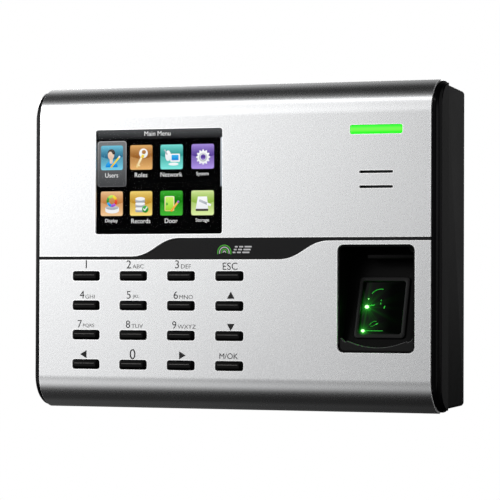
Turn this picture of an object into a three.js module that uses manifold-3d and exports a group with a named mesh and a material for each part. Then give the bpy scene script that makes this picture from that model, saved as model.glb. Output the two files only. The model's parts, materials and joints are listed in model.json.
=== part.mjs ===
// Wall-mounted fingerprint terminal: a metal-faced, black plastic case with a colour display,
// a 4 x 4 keypad, an optical finger sensor and a steel bracket that it hangs on.
//
// Millimetres. X runs across the face, +Y into the wall, +Z up. The origin lies on the wall,
// behind the middle of the case.

import * as THREE from 'three';
import { mergeVertices } from 'three/addons/utils/BufferGeometryUtils.js';
import Module from 'manifold-3d';

const wasm = await Module();
wasm.setup();

// ---- Case ----------------------------------------------------------------------------------
const housingWidth = 180.4;
const housingHeight = 132.8;
const caseDepth = 34; // from the metal face to the back of the shell
const wallGap = 0.5; // from the back of the shell to the wall
const housingDepth = 12.6; // from the metal face to the seam between housing and shell
const seamGap = 0.2;
const housingWall = 2.2;
const faceWall = 2; // plastic behind the metal panels

// ---- Metal panels --------------------------------------------------------------------------
const panelThickness = 1;
const panelProud = 0.6; // how far the panels stand out of the plastic rim
const panelBendRadius = 13.4;
const panelWrapDepth = 11.2; // how far back the rolled edges reach
const panelSideMargin = 3; // plastic rim left at each side
const bondGap = 0.15; // glue line under the panels
const panelEdgeGap = 0.15;

// ---- Rim and side faces --------------------------------------------------------------------
const rimFillet = 1.9;
const sideStep = 0.25; // the matte side face stands out of the rim's end
const sideFaceInset = 4.2; // side face starts this far behind the rim's front
const sideTopInset = 0.7;
const sideBendRadius = 9;
const sideChamfer = 0.25;

// ---- Back shell ----------------------------------------------------------------------------
const shellSideInset = 0.6;
const shellTopInset = 1.2;
const shellTaperTop = 1.9;
const shellTaperBottom = 0.9;
const shellEdgeRadius = 1.8; // along the top and bottom of the back
const shellEndRadius = 1.4; // down the sides of the back
const shellWall = 2.2;
const lipDepth = 2; // tongue of the shell inside the housing
const lipThickness = 1.2;
const lipGap = 0.2;

// ---- Accent strip between the panels -------------------------------------------------------
const stripLineHeight = 1.2; // thin ends of the strip
const stripRise = 7.55; // how far each panel edge climbs from left to right
const stripMiddleHeight = 8.8;
const stripCurveWidth = 22.3;
const stripCurveEase = 0.45;
const upperCurveFromLeft = 56.8; // case's left side to the middle of the upper panel's curve
const lowerCurveFromRight = 57.4;
const stripLift = 0.75; // the strip's middle above or below the case's middle
const stripThickness = 0.6;

// ---- Display -------------------------------------------------------------------------------
const displayWidth = 57.6;
const displayHeight = 43.2;
const displayFromLeft = 58; // case's left side to the display's middle
const displayFromTop = 39.4; // case's top to the display's middle
const displayCorner = 1;
const ribbonWidth = 20;
const ribbonThickness = 0.3;
const ribbonTail = 6; // length that lies on the module and on the board
const lensThickness = 1;
const lensMargin = 2.2;
const lensRecess = 0.15; // raised middle of the window below the metal face
const lensGap = 0.12; // round the raised middle
const displayViewMargin = 1.2; // plastic opening behind the window, wider than the metal's
const gasketThickness = 0.4;
const gasketBorder = 3.6;
const displayModuleThickness = 2.6;
const displayModuleSideBorder = 6;
const displayModuleEndBorder = 3.4;

// ---- Keypad --------------------------------------------------------------------------------
const keyColumns = 4;
const keyRows = 4;
const keyPitchX = 21.75;
const keyPitchZ = 12.23;
const keyOpeningWidth = 12.5;
const keyOpeningHeight = 3.95;
const keyCorner = 1;
const keyGap = 0.2;
const keyProud = 1;
const keyChamfer = 0.5;
const keyTravel = 0.8;
const keyFlange = 1;
const keyFlangeThickness = 0.8;
const keypadFromLeft = 57.6; // case's left side to the middle of the keypad
const keypadFromBottom = 17.75; // case's bottom to the lowest row
const domeHeight = 0.6;
const domeRadius = 1.2;
const domeGap = 0.1; // between a dome and its key's end of travel
const matThickness = 0.8;
const matMargin = 5;
const boardThickness = 1.6;

// ---- Right-hand column: indicator, speaker, finger sensor ----------------------------------
const columnFromRight = 26.3; // case's right side to the column's middle
const indicatorWidth = 22.4;
const indicatorHeight = 3.6;
const indicatorFromTop = 19.6;
const indicatorDepth = 5.8;
const indicatorCorner = 0.8;
const indicatorFlange = 1.2; // reach and thickness of the light guide's flange
const indicatorToBoard = 1.4;
const indicatorBoardMargin = 2;
const indicatorBoardThickness = 1.2;
const indicatorLightSize = [3, 1.5, 2];
const indicatorRecess = 0.2;
const indicatorGap = 0.15;
const speakerFromTop = 39.6;
const slotLength = 14.4;
const slotHeight = 1;
const slotCorner = 0.45;
const slotSpacing = 6;
const speakerRadius = 14;
const speakerRimThickness = 1.6;
const speakerDepth = 6;
const magnetRadius = 8;
const coneDepth = 2; // from the speaker's rim to its magnet

const fingerWidth = 33.1;
const fingerHeight = 43.3;
const fingerCorner = 2.5;
const fingerBelowPanelEdge = 1.7; // metal left above the finger opening
const bezelRecess = 0.8;
const bezelWall = 0.7;
const bezelGap = 0.2;
const bezelFlange = 2;
const bezelFlangeThickness = 1.5;
const bezelPlate = 2.2;
const lipFrontDepth = 1;
const lipPlateThickness = 1.6;
const lipSideHeight = 4.4;
const lipMiddleHeight = 1.6;
const platenWidth = 22;
const platenLength = 25.6;
const platenBorder = 1.8;
const platenRaise = 0.8;
const platenLean = THREE.MathUtils.degToRad(15.6);
const platenBottomDepth = 4.4;
const platenBottomDrop = 37.65; // finger opening's top to the platen's lower edge
const turnedGap = 0.3; // around pieces that lean with the platen
const prismDepthShare = 0.5; // a right-angled prism is half as deep as its face is long
const sensorWall = 1.5;
const sensorCaseDepth = 12;
const sensorBoardThickness = 1.2;
const sensorLensRadius = 3;
const sensorLensLength = 4;
const emitterSize = 1.8;
const emitterSpacing = 9.8;
const emitterFromEnd = 2; // past the platen's border

// ---- Wall bracket --------------------------------------------------------------------------
const plateWidth = 140;
const plateHeight = 92;
const plateThickness = 1.5;
const plateCorner = 4;
const plateClearance = 0.6;
const plateToFloor = 1.1;
const liftTravel = 8;
const hookWidth = 12;
const hookThickness = 1.5;
const hookHeight = 7;
const hookGap = 0.3;
const hookFromSide = 4;
const hookFromTop = 16;
const hookFromBottom = 6;
const wallScrewRadius = 2.25;
const wallScrewX = 50;
const wallScrewFromEdge = 8;
const tongueWidth = 24;
const tongueDrop = 6;
const tongueReach = 9;
const pocketWall = 1.6;

// ---- Main board and connectors -------------------------------------------------------------
const boardDepth = 12; // metal face to the main board's front
const boardSideMargin = 16.2; // room for the case screw towers
const boardEndMargin = 6.4;
const boardToSensor = 4;
const bayLeft = -50;
const bayRight = 22;
const bayTop = -4;
const bayBottom = -36;
const bayWall = 1.6;
const bayToBoard = 1.8;
const windowMargin = 4; // bracket's cable window inside the bay's outline
const jackWidth = 16;
const jackHeight = 13.5;
const jackLength = 17;
const jackPlugWidth = 11.8;
const jackPlugHeight = 8;
const jackPlugFloor = 3.6; // board side of the jack to the plug room
const jackLatchWidth = 6;
const jackLatchFloor = 1.6;
const jackEndWall = 4;
const jackX = -39;
const powerWidth = 9;
const powerHeight = 11;
const powerLength = 14;
const powerX = -20;
const powerBore = 3.1;
const powerPin = 1;
const powerEndWall = 3;
const powerPinRecess = 1;
const blockWays = 8;
const blockPitch = 3.5;
const blockHeight = 9;
const blockLength = 11;
const blockEndWall = 0.5;
const wireHoleWidth = 2.4;
const wireHoleHeight = 2.8;
const wireHoleDepth = 7;
const blockX = 5;
const usbWidth = 13.1;
const usbHeight = 5.7;
const usbLength = 14;
const usbFromBoardEdge = 19; // board's left end to the port's middle
const usbSheet = 0.3;
const usbTongue = 1.9;
const usbTongueGap = 0.4; // under the tongue
const usbTongueMargin = 1; // at its sides, mouth and root
const usbEndWall = 2;
const usbRecess = 0.4; // mouth above the lowest edge of the back
const fitGap = 0.2; // between a connector and the case round it

// ---- Switches, battery, fasteners ----------------------------------------------------------
const tamperX = 30;
const tamperZ = 20;
const tamperSwitchSize = 6;
const tamperSwitchHeight = 4;
const tamperRadius = 1.5;
const tamperCollar = 2.6;
const tamperCollarThickness = 1;
const tamperTravel = 0.6;
const switchGap = 0.2; // between a plunger and the end of its switch's travel
const resetFromUsb = 20;
const resetSwitchSize = 6;
const resetSwitchHeight = 3.5;
const resetRadius = 0.9;
const resetTravel = 0.3;
const resetButtonLength = 1.5;
const resetFromFloor = 3;
const pinholeRadius = 0.75;
const batteryRadius = 10;
const batteryThickness = 3.2;
const holderFloor = 1;
const holderWall = 1.5;
const batteryX = -50;
const batteryZ = 34;
const towerFromSide = 10.2;
const towerFromEnd = 11.4;
const towerRadius = 3.5;
const shellTowerRadius = 4.5;
const towerDepth = 20;
const towerFloor = 2;
const screwHeadRadius = 2.75;
const screwHeadThickness = 2;
const screwHeadTaper = 0.85; // front of a head as a share of its underside
const screwShankRadius = 1.25;
const screwLength = 12;
const screwGap = 0.1;
const shankHole = 1.6;
const headClearance = 0.3;
const postRadius = 3;
const postInset = 4;
const postHoleGap = 0.5;
const boardScrewLength = 8;
const boardScrewHeadRadius = 2.2;
const boardScrewHeadThickness = 1.6;
const boardScrewSpare = 1; // hole left below the screw's end
const securityShankRadius = 1.5;
const securityLength = 14;
const securityClearance = 0.3;
const recessKey = 0.8; // depth of the drive recess in a screw head
const recessRadius = 1.1;
const recessSides = 6;

const curveSteps = 3;
const bendSteps = 8;
const roundSides = 16;
const smallSides = 8;
const beyond = 5; // how far cutting tools run past what they cut
const mergeTolerance = 1e-4;

// ---- Derived places ------------------------------------------------------------------------
const halfWidth = housingWidth / 2;
const halfHeight = housingHeight / 2;
const backY = -wallGap;
const faceY = backY - caseDepth;
const fromFace = (depth) => faceY + depth;
const seamY = fromFace(housingDepth);
const panelHalfWidth = halfWidth - panelSideMargin;
const panelHalfHeight = halfHeight + panelProud;
const seatDepth = panelThickness + bondGap;
const innerFaceY = fromFace(seatDepth + faceWall);
const cavityHalfWidth = halfWidth - housingWall;

const lowerEdgeLeft = -stripLift - (stripMiddleHeight / 2);
const upperEdgeRight = lowerEdgeLeft + stripMiddleHeight;
const lowerEdgeRight = lowerEdgeLeft + stripRise;
const upperEdgeLeft = lowerEdgeLeft + stripLineHeight;
const upperCurveX = -halfWidth + upperCurveFromLeft;
const lowerCurveX = halfWidth - lowerCurveFromRight;

const displayX = -halfWidth + displayFromLeft;
const displayZ = halfHeight - displayFromTop;
const keypadX = -halfWidth + keypadFromLeft;
const bottomRowZ = -halfHeight + keypadFromBottom;
const keyX = (column) => keypadX + (column - (keyColumns - 1) / 2) * keyPitchX;
const keyZ = (row) => bottomRowZ + (keyRows - 1 - row) * keyPitchZ;

const columnX = halfWidth - columnFromRight;
const indicatorZ = halfHeight - indicatorFromTop;
const speakerZ = halfHeight - speakerFromTop;
const fingerTop = lowerEdgeRight - fingerBelowPanelEdge;
const fingerZ = fingerTop - fingerHeight / 2;
const fingerBottom = fingerTop - fingerHeight;

const floorY = -plateThickness - plateToFloor; // recess floor behind the bracket
const floorInnerY = floorY - shellWall;
const plateTop = plateHeight / 2;
const plateBottom = -plateHeight / 2;
const tongueBottom = plateBottom - tongueDrop;
const boardFrontY = fromFace(boardDepth);
const boardBackY = boardFrontY + boardThickness;
const boardLeft = -halfWidth + boardSideMargin;
const boardRight = columnX - fingerWidth / 2 - bezelFlange - boardToSensor;
const boardTop = halfHeight - boardEndMargin;
const usbX = boardLeft + usbFromBoardEdge;
const resetX = usbX + resetFromUsb;
const blockWidth = blockWays * blockPitch + 2 * blockEndWall;
const boardBottom = -boardTop;
const towerX = halfWidth - towerFromSide;
const towerZ = halfHeight - towerFromEnd;
const postXs = [boardLeft + postInset, boardRight - postInset];
const postZs = [boardBottom + postInset, boardTop - postInset];

// ---- Shape helpers -------------------------------------------------------------------------

function solidOf(geometry) {
  geometry.deleteAttribute('normal');
  geometry.deleteAttribute('uv');
  const merged = mergeVertices(geometry, mergeTolerance);
  return new wasm.Manifold(new wasm.Mesh({
    numProp: 3,
    vertProperties: new Float32Array(merged.attributes.position.array),
    triVerts: new Uint32Array(merged.index.array),
  }));
}

// A block between two values on each axis.
function block(xs, ys, zs) {
  const spans = [xs, ys, zs].map(([a, b]) => [Math.min(a, b), Math.max(a, b)]);
  const geometry = new THREE.BoxGeometry(...spans.map(([low, high]) => high - low));
  geometry.translate(...spans.map(([low, high]) => (low + high) / 2));
  return solidOf(geometry);
}

// A span of a given size round a middle.
function around(middle, size) {
  return [middle - size / 2, middle + size / 2];
}

// A rounded rectangle in the XZ plane.
function roundedOutline(x, z, width, height, radius) {
  const right = width / 2 - radius;
  const top = height / 2 - radius;
  const quarter = Math.PI / 2;
  const outline = new THREE.Shape();
  outline.absarc(x + right, z + top, radius, 0, quarter);
  outline.absarc(x - right, z + top, radius, quarter, 2 * quarter);
  outline.absarc(x - right, z - top, radius, 2 * quarter, 3 * quarter);
  outline.absarc(x + right, z - top, radius, 3 * quarter, 4 * quarter);
  return outline;
}

// An XZ outline given thickness between two Y values.
function slab(outline, nearY, farY, steps = curveSteps) {
  const geometry = new THREE.ExtrudeGeometry(outline, {
    depth: farY - nearY,
    bevelEnabled: false,
    curveSegments: steps,
  });
  geometry.rotateX(Math.PI / 2);
  geometry.translate(0, farY, 0);
  return solidOf(geometry);
}

// A YZ outline run along X, with its two ends eased by a fillet.
function runAlongX(outline, lowX, highX, steps = bendSteps, endRadius = 0, endSteps = 1) {
  const geometry = new THREE.ExtrudeGeometry(outline, {
    depth: highX - lowX - 2 * endRadius,
    bevelEnabled: endRadius > 0,
    bevelThickness: endRadius,
    bevelSize: endRadius,
    bevelOffset: -endRadius,
    bevelSegments: endSteps,
    curveSegments: steps,
  });
  const turn = new THREE.Matrix4().makeBasis(
    new THREE.Vector3(0, 1, 0),
    new THREE.Vector3(0, 0, 1),
    new THREE.Vector3(1, 0, 0),
  );
  geometry.applyMatrix4(turn);
  geometry.translate(lowX + endRadius, 0, 0);
  return solidOf(geometry);
}

// A closed YZ outline through straight corners.
function polygon(corners) {
  return new THREE.Shape(corners.map(([y, z]) => new THREE.Vector2(y, z)));
}

// The case's side view: flat face, rolled top and bottom, open towards the back.
function faceProfile(depth, halfSpan, radius, rearY) {
  const frontY = fromFace(depth);
  const outline = new THREE.Shape();
  outline.moveTo(rearY, -halfSpan);
  outline.lineTo(rearY, halfSpan);
  outline.absarc(frontY + radius, halfSpan - radius, radius, Math.PI / 2, Math.PI);
  outline.absarc(frontY + radius, -halfSpan + radius, radius, Math.PI, 1.5 * Math.PI);
  return outline;
}

// A round bar along one axis between two values on that axis.
function rod(axis, middle, span, radius, sides = roundSides, endRadius = radius) {
  const length = span[1] - span[0];
  const geometry = new THREE.CylinderGeometry(endRadius, radius, length, sides);
  if (axis === 'z') {
    geometry.rotateX(Math.PI / 2);
  }
  const place = {
    y: [middle[0], (span[0] + span[1]) / 2, middle[1]],
    z: [middle[0], middle[1], (span[0] + span[1]) / 2],
  };
  geometry.translate(...place[axis]);
  return solidOf(geometry);
}

function unite(solids) {
  return solids.reduce((whole, piece) => whole.add(piece));
}

function cut(solid, tools) {
  return tools.reduce((whole, tool) => whole.subtract(tool), solid);
}

const terminal = new THREE.Group();

const finishes = {
  blastedMetal: { color: 0xd4d5d6, roughness: 0.32, metalness: 1 },
  glossBlack: { color: 0x0b0b0c, roughness: 0.15, metalness: 0 },
  matteBlack: { color: 0x2b2b2d, roughness: 0.55, metalness: 0 },
  darkStrip: { color: 0x2a2a2b, roughness: 0.35, metalness: 0 },
  clearLens: { color: 0x101214, roughness: 0.05, metalness: 0 },
  foam: { color: 0x1a1a1a, roughness: 0.95, metalness: 0 },
  display: { color: 0x1d2630, roughness: 0.3, metalness: 0 },
  ribbon: { color: 0xb9762b, roughness: 0.5, metalness: 0 },
  silicone: { color: 0x8d9094, roughness: 0.8, metalness: 0 },
  circuit: { color: 0x14532d, roughness: 0.5, metalness: 0 },
  indicator: { color: 0x2ef52a, roughness: 0.3, metalness: 0 },
  speaker: { color: 0x25282b, roughness: 0.6, metalness: 0.3 },
  opticalGlass: { color: 0x0d1f14, roughness: 0.03, metalness: 0 },
  emitter: { color: 0x59ff4d, roughness: 0.3, metalness: 0 },
  tinned: { color: 0xb8bcc0, roughness: 0.3, metalness: 1 },
  connector: { color: 0x151515, roughness: 0.5, metalness: 0 },
  wiring: { color: 0x1f7a3a, roughness: 0.5, metalness: 0 },
  steel: { color: 0x9ea3a8, roughness: 0.4, metalness: 1 },
  nylon: { color: 0xe8e6df, roughness: 0.5, metalness: 0 },
};

function meshOf(name, solid, finish) {
  const surface = solid.getMesh();
  const geometry = new THREE.BufferGeometry();
  geometry.setAttribute('position', new THREE.BufferAttribute(surface.vertProperties, 3));
  geometry.setIndex(new THREE.BufferAttribute(surface.triVerts, 1));
  const mesh = new THREE.Mesh(geometry, new THREE.MeshStandardMaterial(finishes[finish]));
  mesh.name = name;
  return mesh;
}

function addPart(name, solid, finish) {
  terminal.add(meshOf(name, solid, finish));
}

// ---- Outlines that several pieces share ----------------------------------------------------

// The S-shaped edge between strip and panel, from left to right.
function addStripEdge(outline, curveX, leftZ, rightZ, farX) {
  const startX = curveX - stripCurveWidth / 2;
  const endX = curveX + stripCurveWidth / 2;
  const ease = stripCurveEase * stripCurveWidth;
  outline.lineTo(startX, leftZ);
  outline.bezierCurveTo(startX + ease, leftZ, endX - ease, rightZ, endX, rightZ);
  outline.lineTo(farX, rightZ);
}

function upperPanelOutline() {
  const outline = new THREE.Shape();
  const farZ = panelHalfHeight + beyond;
  outline.moveTo(-panelHalfWidth, farZ);
  outline.lineTo(-panelHalfWidth, upperEdgeLeft);
  addStripEdge(outline, upperCurveX, upperEdgeLeft, upperEdgeRight, panelHalfWidth);
  outline.lineTo(panelHalfWidth, farZ);
  return outline;
}

function lowerPanelOutline() {
  const outline = new THREE.Shape();
  const farZ = -panelHalfHeight - beyond;
  outline.moveTo(-panelHalfWidth, farZ);
  outline.lineTo(-panelHalfWidth, lowerEdgeLeft);
  addStripEdge(outline, lowerCurveX, lowerEdgeLeft, lowerEdgeRight, panelHalfWidth);
  outline.lineTo(panelHalfWidth, farZ);
  return outline;
}

function displayOutline(grow) {
  return roundedOutline(
    displayX, displayZ, displayWidth + 2 * grow, displayHeight + 2 * grow, displayCorner + grow,
  );
}

function fingerOutline(grow) {
  return roundedOutline(
    columnX, fingerZ, fingerWidth + 2 * grow, fingerHeight + 2 * grow, fingerCorner + grow,
  );
}

function indicatorOutline(grow) {
  const corner = indicatorCorner + grow;
  return roundedOutline(
    columnX, indicatorZ, indicatorWidth + 2 * grow, indicatorHeight + 2 * grow, corner,
  );
}

function speakerSlotOutlines() {
  return [slotSpacing / 2, -slotSpacing / 2].map((offset) => roundedOutline(
    columnX, speakerZ + offset, slotLength, slotHeight, slotCorner,
  ));
}

function keyOpeningOutlines() {
  const outlines = [];
  for (let row = 0; row < keyRows; row += 1) {
    for (let column = 0; column < keyColumns; column += 1) {
      outlines.push(roundedOutline(
        keyX(column), keyZ(row), keyOpeningWidth, keyOpeningHeight, keyCorner,
      ));
    }
  }
  return outlines;
}

// ---- Metal face ----------------------------------------------------------------------------

function panelSheet() {
  const rearY = fromFace(panelWrapDepth);
  const outer = faceProfile(0, panelHalfHeight, panelBendRadius, rearY + beyond);
  const inner = faceProfile(
    panelThickness,
    panelHalfHeight - panelThickness,
    panelBendRadius - panelThickness,
    rearY + 2 * beyond,
  );
  const skin = runAlongX(outer, -halfWidth, halfWidth)
    .subtract(runAlongX(inner, -halfWidth - beyond, halfWidth + beyond));
  const front = block(
    [-halfWidth - beyond, halfWidth + beyond],
    [faceY - beyond, rearY],
    [-halfHeight - beyond, halfHeight + beyond],
  );
  return skin.intersect(front);
}

function throughFace(outline, steps = curveSteps) {
  return slab(outline, faceY - beyond, innerFaceY + beyond, steps);
}

function makePanels() {
  const sheet = panelSheet();
  const nearY = faceY - beyond;
  const farY = seamY + beyond;
  const upper = sheet.intersect(slab(upperPanelOutline(), nearY, farY, bendSteps));
  const lower = sheet.intersect(slab(lowerPanelOutline(), nearY, farY, bendSteps));
  const upperHoles = [displayOutline(0), indicatorOutline(0), ...speakerSlotOutlines()];
  const lowerHoles = [fingerOutline(0), ...keyOpeningOutlines()];
  addPart('upper_face_panel', cut(upper, upperHoles.map((hole) => throughFace(hole))), 'blastedMetal');
  addPart('lower_face_panel', cut(lower, lowerHoles.map((hole) => throughFace(hole))), 'blastedMetal');
}

// The strip lies on the housing between the two panels, lower than their surface.
function makeAccentStrip() {
  const outline = new THREE.Shape();
  const gap = panelEdgeGap;
  outline.moveTo(-panelHalfWidth, lowerEdgeLeft + gap);
  addStripEdge(outline, lowerCurveX, lowerEdgeLeft + gap, lowerEdgeRight + gap, panelHalfWidth);
  outline.lineTo(panelHalfWidth, upperEdgeRight - gap);
  const startX = upperCurveX + stripCurveWidth / 2;
  const endX = upperCurveX - stripCurveWidth / 2;
  const ease = stripCurveEase * stripCurveWidth;
  outline.lineTo(startX, upperEdgeRight - gap);
  outline.bezierCurveTo(
    startX - ease, upperEdgeRight - gap, endX + ease, upperEdgeLeft - gap, endX, upperEdgeLeft - gap,
  );
  outline.lineTo(-panelHalfWidth, upperEdgeLeft - gap);
  const seatY = fromFace(seatDepth);
  addPart('accent_strip', slab(outline, seatY - stripThickness, seatY, bendSteps), 'darkStrip');
}

// ---- Front housing -------------------------------------------------------------------------

function housingOuter() {
  const rim = runAlongX(
    faceProfile(panelProud, halfHeight, panelBendRadius - panelProud, seamY + beyond),
    -halfWidth + sideStep, halfWidth - sideStep, bendSteps, rimFillet, 3,
  );
  const sideDepth = panelProud + sideFaceInset;
  const sides = runAlongX(
    faceProfile(sideDepth, halfHeight - sideTopInset, sideBendRadius, seamY + beyond),
    -halfWidth, halfWidth, bendSteps, sideChamfer, 1,
  );
  const front = block(
    [-halfWidth - beyond, halfWidth + beyond],
    [faceY - beyond, seamY],
    [-halfHeight - beyond, halfHeight + beyond],
  );
  return rim.add(sides).intersect(front);
}

// Everything that the panels and their glue line take from the housing's outside.
function panelSeat() {
  const seatHalfWidth = panelHalfWidth + panelEdgeGap;
  const room = block(
    [-seatHalfWidth, seatHalfWidth],
    [faceY - beyond, fromFace(panelWrapDepth) + panelEdgeGap],
    [-halfHeight - beyond, halfHeight + beyond],
  );
  const left = runAlongX(
    faceProfile(
      seatDepth, panelHalfHeight - seatDepth, panelBendRadius - seatDepth, seamY + beyond,
    ),
    -halfWidth, halfWidth,
  );
  return room.subtract(left);
}

function housingCavity() {
  const depth = seatDepth + faceWall;
  return runAlongX(
    faceProfile(
      depth, panelHalfHeight - depth, panelBendRadius - depth, seamY + beyond,
    ),
    -cavityHalfWidth, cavityHalfWidth,
  );
}

function makeFrontHousing() {
  const shell = housingOuter().subtract(housingCavity());
  const solids = [shell];
  const holes = [];
  const pilotRadius = screwShankRadius + screwGap;
  const rootY = innerFaceY - faceWall / 2;
  for (const x of [-towerX, towerX]) {
    for (const z of [-towerZ, towerZ]) {
      const topY = fromFace(towerDepth);
      solids.push(rod('y', [x, z], [rootY, topY], towerRadius, smallSides * 2));
      holes.push(rod('y', [x, z], [topY - screwLength, topY + beyond], pilotRadius, smallSides));
    }
  }
  for (const x of postXs) {
    for (const z of postZs) {
      solids.push(rod('y', [x, z], [rootY, boardFrontY], postRadius, smallSides));
      holes.push(rod(
        'y', [x, z], [boardFrontY - boardScrewLength, boardFrontY + beyond], pilotRadius, smallSides,
      ));
    }
  }
  const lensPocket = slab(
    displayOutline(lensMargin + panelEdgeGap),
    faceY - beyond, fromFace(seatDepth + lensThickness + bondGap),
  );
  const openings = [
    throughFace(displayOutline(displayViewMargin)),
    throughFace(fingerOutline(0)),
    throughFace(indicatorOutline(0)),
    ...speakerSlotOutlines().map((outline) => throughFace(outline)),
    ...keyOpeningOutlines().map((outline) => throughFace(outline)),
  ];
  const tools = [panelSeat(), lensPocket, ...openings, ...holes];
  addPart('front_housing', cut(unite(solids), tools), 'glossBlack');
}

// ---- Back shell ----------------------------------------------------------------------------

const shellFrontHeight = halfHeight - shellTopInset;
const shellTopAt = (y) => shellFrontHeight - shellTaperTop * (y - seamY) / (backY - seamY);
const shellBottomAt = (y) => -shellFrontHeight + shellTaperBottom * (y - seamY) / (backY - seamY);

// The shell's side view, wall by wall further in as inset grows.
function shellProfile(inset, frontY, rearY, cornerRadius) {
  const topAt = (y) => shellTopAt(y) - inset;
  const bottomAt = (y) => shellBottomAt(y) + inset;
  const outline = new THREE.Shape();
  const arcY = rearY - cornerRadius;
  outline.moveTo(frontY, topAt(frontY));
  outline.lineTo(frontY, bottomAt(frontY));
  outline.absarc(arcY, bottomAt(arcY) + cornerRadius, cornerRadius, -Math.PI / 2, 0);
  outline.absarc(arcY, topAt(arcY) - cornerRadius, cornerRadius, 0, Math.PI / 2);
  return outline;
}

const shellHalfWidth = halfWidth - shellSideInset;
const shellFrontY = seamY + seamGap;
const shellFloorZ = shellBottomAt(backY) + shellWall;

// The bracket's plate with room round it, and room below for the lift.
function bracketRecess() {
  const plateRoom = block(
    [-plateWidth / 2 - plateClearance, plateWidth / 2 + plateClearance],
    [floorY, backY + beyond],
    [plateBottom - liftTravel - plateClearance, plateTop + plateClearance],
  );
  const tongueRoom = block(
    [-tongueWidth / 2 - plateClearance, tongueWidth / 2 + plateClearance],
    [-tongueReach - plateThickness - plateClearance, backY + beyond],
    [tongueBottom - liftTravel - plateClearance, plateBottom + plateClearance],
  );
  return plateRoom.add(tongueRoom);
}

function recessWalls() {
  const plateWalls = block(
    [-plateWidth / 2 - plateClearance - shellWall, plateWidth / 2 + plateClearance + shellWall],
    [floorInnerY, backY - shellWall / 2],
    [plateBottom - liftTravel - plateClearance - shellWall, plateTop + plateClearance + shellWall],
  );
  const pocketHalf = tongueWidth / 2 + plateClearance + pocketWall;
  const tongueWalls = block(
    [-pocketHalf, pocketHalf],
    [-tongueReach - plateThickness - plateClearance - pocketWall, backY - shellWall / 2],
    [shellFloorZ - shellWall / 2, plateBottom + plateClearance + pocketWall],
  );
  return plateWalls.add(tongueWalls);
}

function hookPlaces() {
  const xs = [-plateWidth / 2 + hookFromSide + hookWidth / 2];
  xs.push(-xs[0]);
  const zs = [plateTop - hookFromTop, plateBottom + hookFromBottom];
  return xs.flatMap((x) => zs.map((z) => [x, z]));
}

function makeBackShell() {
  const outer = runAlongX(
    shellProfile(0, seamY - beyond, backY, shellEdgeRadius),
    -shellHalfWidth, shellHalfWidth, curveSteps, shellEndRadius, 3,
  );
  const behindSeam = block(
    [-halfWidth, halfWidth], [shellFrontY, beyond], [-halfHeight, halfHeight],
  );
  const cavity = runAlongX(
    shellProfile(shellWall, seamY - beyond, backY - shellWall, shellEdgeRadius / 2),
    -shellHalfWidth + shellWall, shellHalfWidth - shellWall, curveSteps,
  );
  const walls = recessWalls();
  const bayFrontY = boardBackY + bayToBoard;
  const bayWalls = block(
    [bayLeft - bayWall, bayRight + bayWall],
    [bayFrontY, floorY],
    [bayBottom - bayWall, bayTop + bayWall],
  );
  const solids = [outer.intersect(behindSeam).subtract(cavity), walls, bayWalls];

  // A tongue that centres the shell in the housing.
  const tongueHalfWidth = cavityHalfWidth - lipGap;
  const tongueHalfHeight = panelHalfHeight - seatDepth - faceWall - lipGap;
  const tongueOuter = block(
    [-tongueHalfWidth, tongueHalfWidth],
    [shellFrontY - lipDepth, shellFrontY + lipThickness],
    [-tongueHalfHeight + lipGap, tongueHalfHeight - lipGap],
  );
  const tongueInner = block(
    [-tongueHalfWidth + lipThickness, tongueHalfWidth - lipThickness],
    [shellFrontY - lipDepth - beyond, shellFrontY + lipThickness + beyond],
    [-tongueHalfHeight + 2 * lipThickness, tongueHalfHeight - 2 * lipThickness],
  );
  solids.push(tongueOuter.subtract(tongueInner));

  // Screw towers, each open at the back and floored where the screw head sits.
  const floorFrontY = fromFace(towerDepth) + seamGap;
  const headFloorY = floorFrontY + towerFloor;
  const towerTools = [];
  for (const x of [-towerX, towerX]) {
    for (const z of [-towerZ, towerZ]) {
      solids.push(rod('y', [x, z], [floorFrontY, backY - shellWall / 2], shellTowerRadius));
      towerTools.push(rod('y', [x, z], [headFloorY, beyond], screwHeadRadius + headClearance));
      towerTools.push(rod('y', [x, z], [floorFrontY - beyond, beyond], shankHole, smallSides));
    }
  }

  const bay = block([bayLeft, bayRight], [bayFrontY + bayWall, beyond], [bayBottom, bayTop]);
  const hookSlots = hookPlaces().map(([x, z]) => block(
    around(x, hookWidth + 2 * fitGap + plateClearance),
    [floorInnerY - beyond, beyond],
    [z - liftTravel - hookGap, z + hookThickness + hookGap],
  ));
  const mouths = [
    [jackX, jackWidth, jackHeight],
    [powerX, powerWidth, powerHeight],
    [blockX, blockWidth, blockHeight],
  ].map(([x, width, height]) => block(
    around(x, width + 2 * fitGap),
    [boardBackY, boardBackY + height + fitGap],
    [bayTop - fitGap, bayTop + bayWall + fitGap],
  ));
  const bottomTools = [
    block(
      around(usbX, usbWidth + 2 * fitGap),
      [boardBackY - fitGap, boardBackY + usbHeight + fitGap],
      [-halfHeight, shellFloorZ + beyond],
    ),
    rod(
      'z', [resetX, boardBackY + resetSwitchHeight / 2], [-halfHeight, shellFloorZ + beyond],
      pinholeRadius, smallSides,
    ),
    rod(
      'z', [0, securityScrewY()], [-halfHeight, tongueBottom],
      securityShankRadius + securityClearance, roundSides,
    ),
  ];
  const plungerHole = rod(
    'y', [tamperX, tamperZ], [floorInnerY - beyond, beyond], tamperRadius + fitGap, smallSides,
  );
  const tools = [bracketRecess(), bay, ...hookSlots, ...mouths, ...towerTools, ...bottomTools];
  addPart('back_shell', cut(unite(solids), [...tools, plungerHole]), 'matteBlack');
}

function securityScrewY() {
  return -plateThickness - tongueReach / 2;
}

// ---- Wall bracket --------------------------------------------------------------------------

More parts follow.
